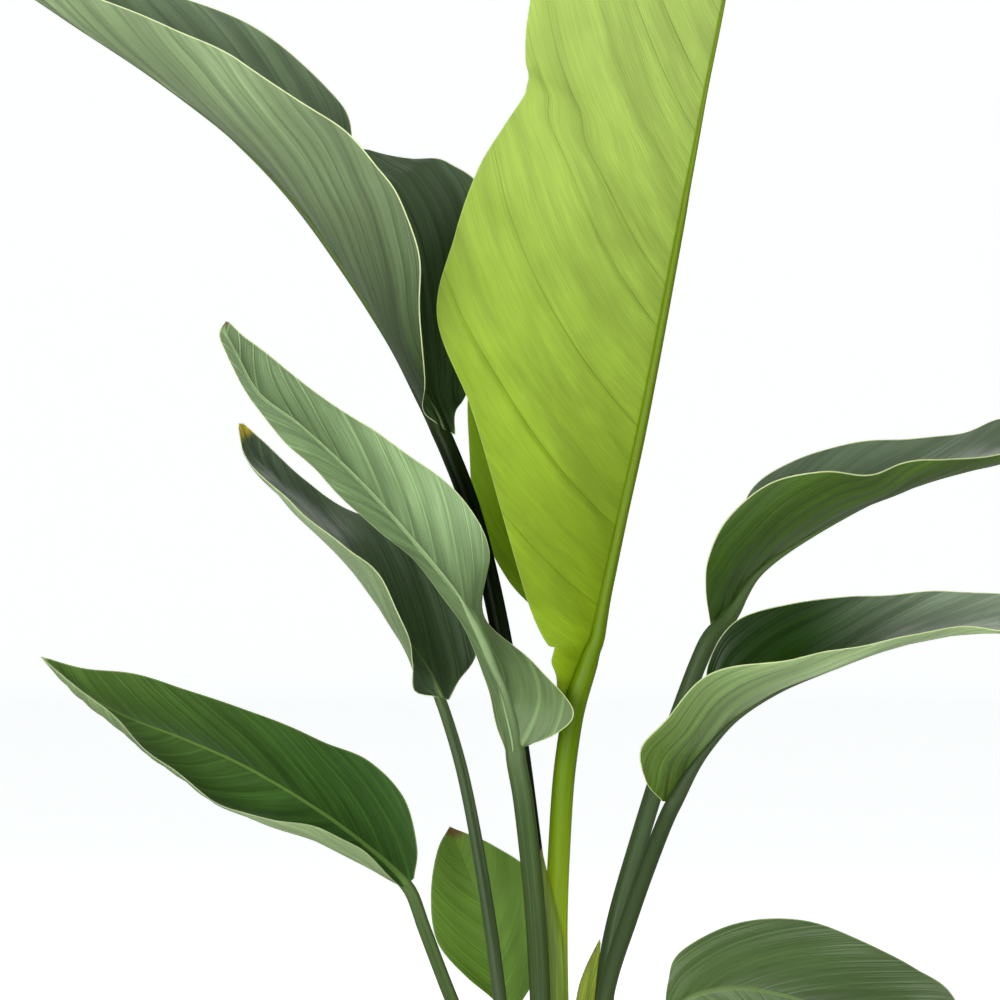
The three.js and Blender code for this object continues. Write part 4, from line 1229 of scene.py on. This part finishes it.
def mix_height(x, y):
    """Height of the mix above the pot's underside, at a place across the pot."""
    out = min(1.0, math.hypot(x, y) / MIX_RADIUS)
    crown, edge = MIX_HIGH.z - 1.5 * MM, MIX_HIGH.z - 9 * MM
    fine, height = 70, 1.6 * MM
    smoothness, step, layers = 0.9, 2.1, 4
    bumps = noise.fractal(Vector((x * fine, y * fine, 2.0)), smoothness, step, layers) * height
    return crown + (edge - crown) * out * out + bumps


def mix_material(colour):
    """Moist peat and fine bark."""
    material, tree, shader = new_material("moist_mix")
    patches, specks = tree.mottle(patch_scale=170.0, speck_scale=420.0)
    tone = tree.mix(patches, shade_of(colour, 0.45), shade_of(colour, 1.1))
    tone = tree.mix(specks, tone, (0.30, 0.21, 0.13))
    tree.paint(shader, tone, roughness=0.92)
    tree.emboss(shader, patches, strength=0.8, millimetres=1.5)
    return material


def chip_material(name, colour, light):
    """Bark chips or white crumbs, with grain."""
    material, tree, shader = new_material(name)
    patches, _ = tree.mottle(patch_scale=120.0)
    grain = tree.speckle(tree.scaled(tree.object_place(), (260.0, 900.0, 500.0)), detail=3.0, rough=0.6)
    tone = tree.mix(patches, colour, light)
    tone = tree.mix(tree.rise(grain, start=0.45, end=0.7), tone, shade_of(colour, 0.55))
    tree.paint(shader, tone, roughness=0.85)
    tree.emboss(shader, grain, strength=0.6, millimetres=0.6)
    return material


class PLANT_OT_potting_mix(bpy.types.Operator):
    """Builds the potting mix with its bark chips and white crumbs"""

    bl_idname = "plant.potting_mix"
    bl_label = "Potting Mix"

    RINGS, SIDES = 56, 144
    CHIP_LENGTHS = (0.5, 1.35)  # the shortest and the longest chip, as shares of a common one
    CHIP_GAP = 0.35             # of a chip's length, from its middle to the nearest stalk
    CHIP_LIFT = 0.1             # of a chip's length, from the mix to its middle
    CHIP_TILT = 0.45            # radians that a chip tips up or down at most

    def execute(self, context):
        settings = context.scene.mix_settings
        draw = random.Random(settings.seed)
        self.body(settings)
        bark = chip_material("bark_chip", tuple(settings.bark_colour), (0.21, 0.115, 0.06))
        self.scatter("bark_chips", settings.chips, settings.chip_size, (1.0, 0.55, 0.3), bark, draw)
        white = chip_material("white_crumb", (0.62, 0.6, 0.55), (0.8, 0.79, 0.75))
        crumb_size = settings.chip_size * 0.34
        self.scatter("white_crumbs", settings.crumbs, crumb_size, (1.0, 0.85, 0.8), white, draw)
        return {"FINISHED"}

    def body(self, settings):
        """The mix itself: its underside, its wall and its uneven top, from outside to middle."""
        gap, narrowing = 0.4 * MM, 0.82
        radius = MIX_RADIUS - gap
        foot = radius * narrowing
        top = [radius * (1 - ring / (self.RINGS + 1)) for ring in range(self.RINGS + 2)]

        def height(ring, x, y):
            return MIX_LOW.z if ring < 2 else mix_height(x, y)

        piece = round_piece("bark_mix", [0, foot, *top], self.SIDES, height, gap=0.02 * MM)
        turn_outward(piece)
        shade(piece, degrees=40)
        piece.data.materials.append(mix_material(tuple(settings.bark_colour)))
        hand_over(piece, "potting_mix", "potting_mix")

    def models(self, material, draw):
        """Three rough lumps that the chips are copied from."""
        lumpiness, roughness, patterns = 1.7, 0.55, 50
        made = []
        for _ in range(3):
            deselect_all()
            bpy.ops.mesh.primitive_ico_sphere_add(subdivisions=2, radius=0.5)
            lump = bpy.context.object
            shift = Vector((draw.random() * patterns, 0, 0))
            for vertex in lump.data.vertices:
                vertex.co *= 1 + roughness * noise.noise(vertex.co * lumpiness + shift)
            apply_modifier(lump, "DECIMATE", ratio=0.42)
            lump.data.materials.append(material)
            made.append(lump)
        return made

    def scatter(self, name, count, size, shape, material, draw):
        """Copies of the lumps on the mix, clear of the stalks and the pot's wall, as one piece.
        shape is a chip's length, width and height, in lengths."""
        models = self.models(material, draw)
        stalks = [(Vector(leaf["stalk"][0]) * MM, leaf["radii"][0] * MM) for leaf in LEAVES.values()]
        off_wall = 3 * MM
        limit = MIX_RADIUS - off_wall
        copies = []
        while len(copies) < count:
            angle, reach = draw.random() * 2 * math.pi, limit * math.sqrt(draw.random())
            x, y = reach * math.cos(angle), reach * math.sin(angle)
            length = size * draw.uniform(*self.CHIP_LENGTHS)
            clear = all(math.hypot(x - foot.x, y - foot.y) > radius + self.CHIP_GAP * length
                        for foot, radius in stalks)
            if not clear or reach + length / 2 > limit:
                continue
            copy = draw.choice(models).copy()
            copy.data = copy.data.copy()
            bpy.context.scene.collection.objects.link(copy)
            turn = Matrix.Rotation(draw.uniform(0, 2 * math.pi), 4, "Z")
            tip = Matrix.Rotation(draw.uniform(-self.CHIP_TILT, self.CHIP_TILT), 4, "X")
            stretch = Matrix.Diagonal((*(length * factor for factor in shape), 1.0))
            height = mix_height(x, y) + self.CHIP_LIFT * length
            copy.data.transform(Matrix.Translation((x, y, height)) @ turn @ tip @ stretch)
            copy.matrix_world = Matrix.Identity(4)
            copies.append(copy)
        for model in models:
            bpy.data.objects.remove(model)
        deselect_all()
        for copy in copies:
            copy.select_set(True)
        bpy.context.view_layer.objects.active = copies[0]
        bpy.ops.object.join()
        piece = bpy.context.object
        piece.name = name
        piece.data.name = name
        hand_over(piece, "potting_mix")


def pot_material(colour):
    """Matte glaze with faint throwing rings and fine specks."""
    material, tree, shader = new_material("matte_glaze")
    patches, specks = tree.mottle(patch_scale=9.0, speck_scale=520.0)
    rings = tree.speckle(tree.scaled(tree.object_place(), (2.0, 2.0, 190.0)), detail=3.0, rough=0.55)
    tone = tree.cover(colour, shade_of(colour, 0.93), patches, strength=0.5)
    tone = tree.cover(tone, shade_of(colour, 0.9), tree.rise(rings, start=0.45, end=0.75), strength=0.3)
    tone = tree.cover(tone, (0.30, 0.24, 0.18), specks, strength=0.7)
    tree.paint(shader, tone, roughness=tree.plus(0.55, tree.times(rings, 0.2)))
    tree.emboss(shader, rings, strength=0.35, millimetres=0.7)
    return material


class PLANT_OT_pot(bpy.types.Operator):
    """Builds the plain pot"""

    bl_idname = "plant.pot"
    bl_label = "Pot"

    FOOT = 78 * MM
    WALL = 6 * MM
    BAND = 24 * MM              # height of the band below the rim
    LIP = 4 * MM                # how far the band stands out from the wall
    ROUNDING = 2.4 * MM
    CORNER = 0.7 * MM           # how far a rounded edge's middle lies inside its sharp corner

    def execute(self, context):
        settings = context.scene.pot_settings
        self.piece(settings, self.outline(POT_HIGH.x, POT_HIGH.z))
        return {"FINISHED"}

    def outline(self, rim, height):
        """Radius and height of the pot's rings, from the middle of its underside to its floor."""
        foot, wall, band, lip = self.FOOT, self.WALL, self.BAND, self.LIP
        rounding, corner = self.ROUNDING, self.CORNER

        def outside(level):
            return foot + (rim - lip - foot) * level / height

        inside = outside(height) - wall
        floor = outside(wall) - wall
        foot_round = 2.2 * MM
        rings = [(foot * share, 0.0) for share in (0.25, 0.55, 0.9)]
        rings += [(foot - foot_round, 0.0), (foot - corner, 0.6 * MM), (foot, foot_round)]
        rings += [(outside(level), level) for level in np.linspace(0.05, 0.95, 12) * (height - band)]
        rings += [(outside(height - band - lip), height - band - lip),
                  (rim - 1.2 * MM, height - band - 0.8 * MM), (rim, height - band + 1.4 * MM)]
        rings += [(rim, height - band * share) for share in (0.7, 0.4)]
        rings += [(rim, height - rounding), (rim - corner, height - corner), (rim - rounding, height),
                  (inside + rounding, height), (inside + corner, height - corner),
                  (inside, height - rounding)]
        rings += [(inside + (floor - inside) * share, height + (wall - height) * share)
                  for share in (0.15, 0.4, 0.7, 1.0)]
        rings += [(floor * share, wall) for share in (0.6, 0.25)]
        return rings

    def piece(self, settings, outline):
        """A circle at the underside, extruded from ring to ring and closed at the floor."""
        deselect_all()
        radius, level = outline[0]
        bpy.ops.mesh.primitive_circle_add(vertices=settings.sides, radius=radius,
                                          location=(0, 0, level), fill_type="NOTHING")
        piece = bpy.context.object
        piece.name = "ceramic_pot"
        piece.data.name = "ceramic_pot"
        bpy.ops.object.mode_set(mode="EDIT")
        bpy.ops.mesh.select_all(action="SELECT")
        for (before, low), (after, high) in zip(outline, outline[1:]):
            bpy.ops.mesh.extrude_region_move(TRANSFORM_OT_translate={"value": (0, 0, high - low)})
            factor = after / before
            bpy.ops.transform.resize(value=(factor, factor, 1.0))
        bpy.ops.mesh.edge_face_add()
        bpy.ops.object.mode_set(mode="OBJECT")
        close_and_turn(piece)
        self.drill(piece)
        shade(piece, degrees=40)
        piece.data.materials.append(pot_material(tuple(settings.glaze_colour)))
        hand_over(piece, "pot", "pot")

    def drill(self, piece):
        """Four drain holes through the floor."""
        count, radius, reach = 4, 6 * MM, 44 * MM
        for hole in range(count):
            angle = 2 * math.pi * (hole + 0.5) / count
            deselect_all()
            bpy.ops.mesh.primitive_cylinder_add(
                vertices=40, radius=radius, depth=3 * self.WALL,
                location=(reach * math.cos(angle), reach * math.sin(angle), self.WALL / 2))
            drill = bpy.context.object
            apply_modifier(piece, "BOOLEAN", operation="DIFFERENCE", object=drill, solver="EXACT")
            bpy.data.objects.remove(drill)


class PLANT_OT_stage(bpy.types.Operator):
    """Builds the floor, the lights and the camera"""

    bl_idname = "plant.stage"
    bl_label = "Stage"

    FLOOR_RADIUS = 10.0
    FLOOR_RISE = 3.5            # height of the floor's far edge
    SKY_WHITE = (0.98, 1.0, 1.0, 1.0)

    def execute(self, context):
        settings = context.scene.stage_settings
        self.floor(settings.floor_glow)
        self.sky(settings.sky)
        aim = Vector((0.0, 0.0, 0.55))
        self.light("key_light", (-1.5, -2.1, 1.0), 1.5, settings.key_power, aim)
        self.light("low_light", (-0.2, -2.0, 0.12), 1.4, settings.low_power, aim)
        self.light("fill_light", (1.5, -2.2, 0.6), 1.8, settings.fill_power, aim)
        self.light("back_light", (0.3, 1.7, 2.5), 1.8, settings.back_power, aim)
        context.scene.view_settings.view_transform = "Standard"
        self.camera(context.scene, settings)
        return {"FINISHED"}

    def camera(self, scene, settings):
        """A level camera that looks at the pot's axis from the front."""
        camera = bpy.data.cameras.new("front_camera")
        camera.sensor_width = 36.0
        camera.lens = camera.sensor_width * settings.eye_distance / settings.view_width
        camera.clip_end = 100.0
        holder = bpy.data.objects.new("front_camera", camera)
        holder.location = (settings.eye_across, -settings.eye_distance, settings.eye_height)
        holder.rotation_euler = (math.pi / 2, 0, 0)
        scene.collection.objects.link(holder)
        scene.camera = holder

    def floor(self, glow):
        """A round pale floor whose far edge curves up."""
        rings, sides = 40, 96
        widening, flat = 1.15, 0.7
        shares = [ring / rings for ring in range(rings + 1)]
        reaches = [self.FLOOR_RADIUS * math.sin(min(1.0, share * widening) * math.pi / 2)
                   for share in shares]

        def height(ring, x, y):
            return self.FLOOR_RISE * max(0.0, (shares[ring] - flat) / (1 - flat)) ** 2

        piece = round_piece("studio_floor", reaches, sides, height, gap=0.1 * MM)
        shade(piece, degrees=40)
        piece.data.materials.append(self.floor_material(glow))

    def floor_material(self, glow):
        """Pale and matte. The camera alone sees it glow, less so round the pot."""
        material, tree, shader = new_material("pale_floor")
        tree.paint(shader, (0.80, 0.81, 0.81), roughness=0.9)
        shader.inputs["Emission Color"].default_value = self.SKY_WHITE
        seen = tree.add("ShaderNodeLightPath").outputs["Is Camera Ray"]
        reach = tree.add("ShaderNodeVectorMath", {0: tree.object_place()}, operation="LENGTH")
        dim_to, bright_from, dimmed = 1.0, 2.6, 0.35
        away = tree.add("ShaderNodeMapRange", {0: reach.outputs["Value"], 1: dim_to, 2: bright_from,
                                               3: dimmed * glow, 4: glow},
                        interpolation_type="SMOOTHSTEP", clamp=True).outputs[0]
        tree.put(shader.inputs["Emission Strength"], tree.times(seen, away))
        return material

    def sky(self, strength):
        """White surroundings."""
        world = bpy.data.worlds.new("white_surroundings")
        bpy.context.scene.world = world
        world.use_nodes = True
        background = world.node_tree.nodes["Background"]
        background.inputs["Color"].default_value = self.SKY_WHITE
        background.inputs["Strength"].default_value = strength

    def light(self, name, place, size, power, aim):
        """A square soft light that the camera doesn't see."""
        lamp = bpy.data.lights.new(name, "AREA")
        lamp.energy = power
        lamp.size = size
        holder = bpy.data.objects.new(name, lamp)
        holder.location = place
        holder.rotation_euler = (Vector(place) - aim).to_track_quat("Z", "Y").to_euler()
        holder.visible_camera = False
        bpy.context.scene.collection.objects.link(holder)


class PLANT_PT_panel(bpy.types.Panel):
    """Lists the plant's operators and settings in the sidebar"""

    bl_idname = "PLANT_PT_panel"
    bl_label = "Bird of Paradise"
    bl_space_type = "VIEW_3D"
    bl_region_type = "UI"
    bl_category = "Plant"

    def draw(self, context):
        for settings, operators in (
                ("leaf_settings", ("plant.blades", "plant.sheaths")),
                ("stalk_settings", ("plant.stalks",)),
                ("mix_settings", ("plant.potting_mix",)),
                ("pot_settings", ("plant.pot",)),
                ("stage_settings", ("plant.stage",))):
            box = self.layout.box()
            group = getattr(context.scene, settings)
            for key in group.__annotations__:
                box.prop(group, key)
            for operator in operators:
                box.operator(operator)


CLASSES = (
    LeafSettings, StalkSettings, MixSettings, PotSettings, StageSettings,
    PLANT_OT_blades, PLANT_OT_sheaths, PLANT_OT_stalks, PLANT_OT_potting_mix, PLANT_OT_pot,
    PLANT_OT_stage, PLANT_PT_panel,
)


def register():
    for cls in CLASSES:
        bpy.utils.register_class(cls)
    bpy.types.Scene.leaf_settings = PointerProperty(type=LeafSettings)
    bpy.types.Scene.stalk_settings = PointerProperty(type=StalkSettings)
    bpy.types.Scene.mix_settings = PointerProperty(type=MixSettings)
    bpy.types.Scene.pot_settings = PointerProperty(type=PotSettings)
    bpy.types.Scene.stage_settings = PointerProperty(type=StageSettings)


def unregister():
    for name in ("leaf_settings", "stalk_settings", "mix_settings", "pot_settings", "stage_settings"):
        delattr(bpy.types.Scene, name)
    for cls in reversed(CLASSES):
        bpy.utils.unregister_class(cls)


def main():
    register()
    bpy.ops.plant.blades()
    bpy.ops.plant.stalks()
    bpy.ops.plant.sheaths()
    bpy.ops.plant.potting_mix()
    bpy.ops.plant.pot()
    bpy.ops.plant.stage()


if __name__ == "__main__":
    main()
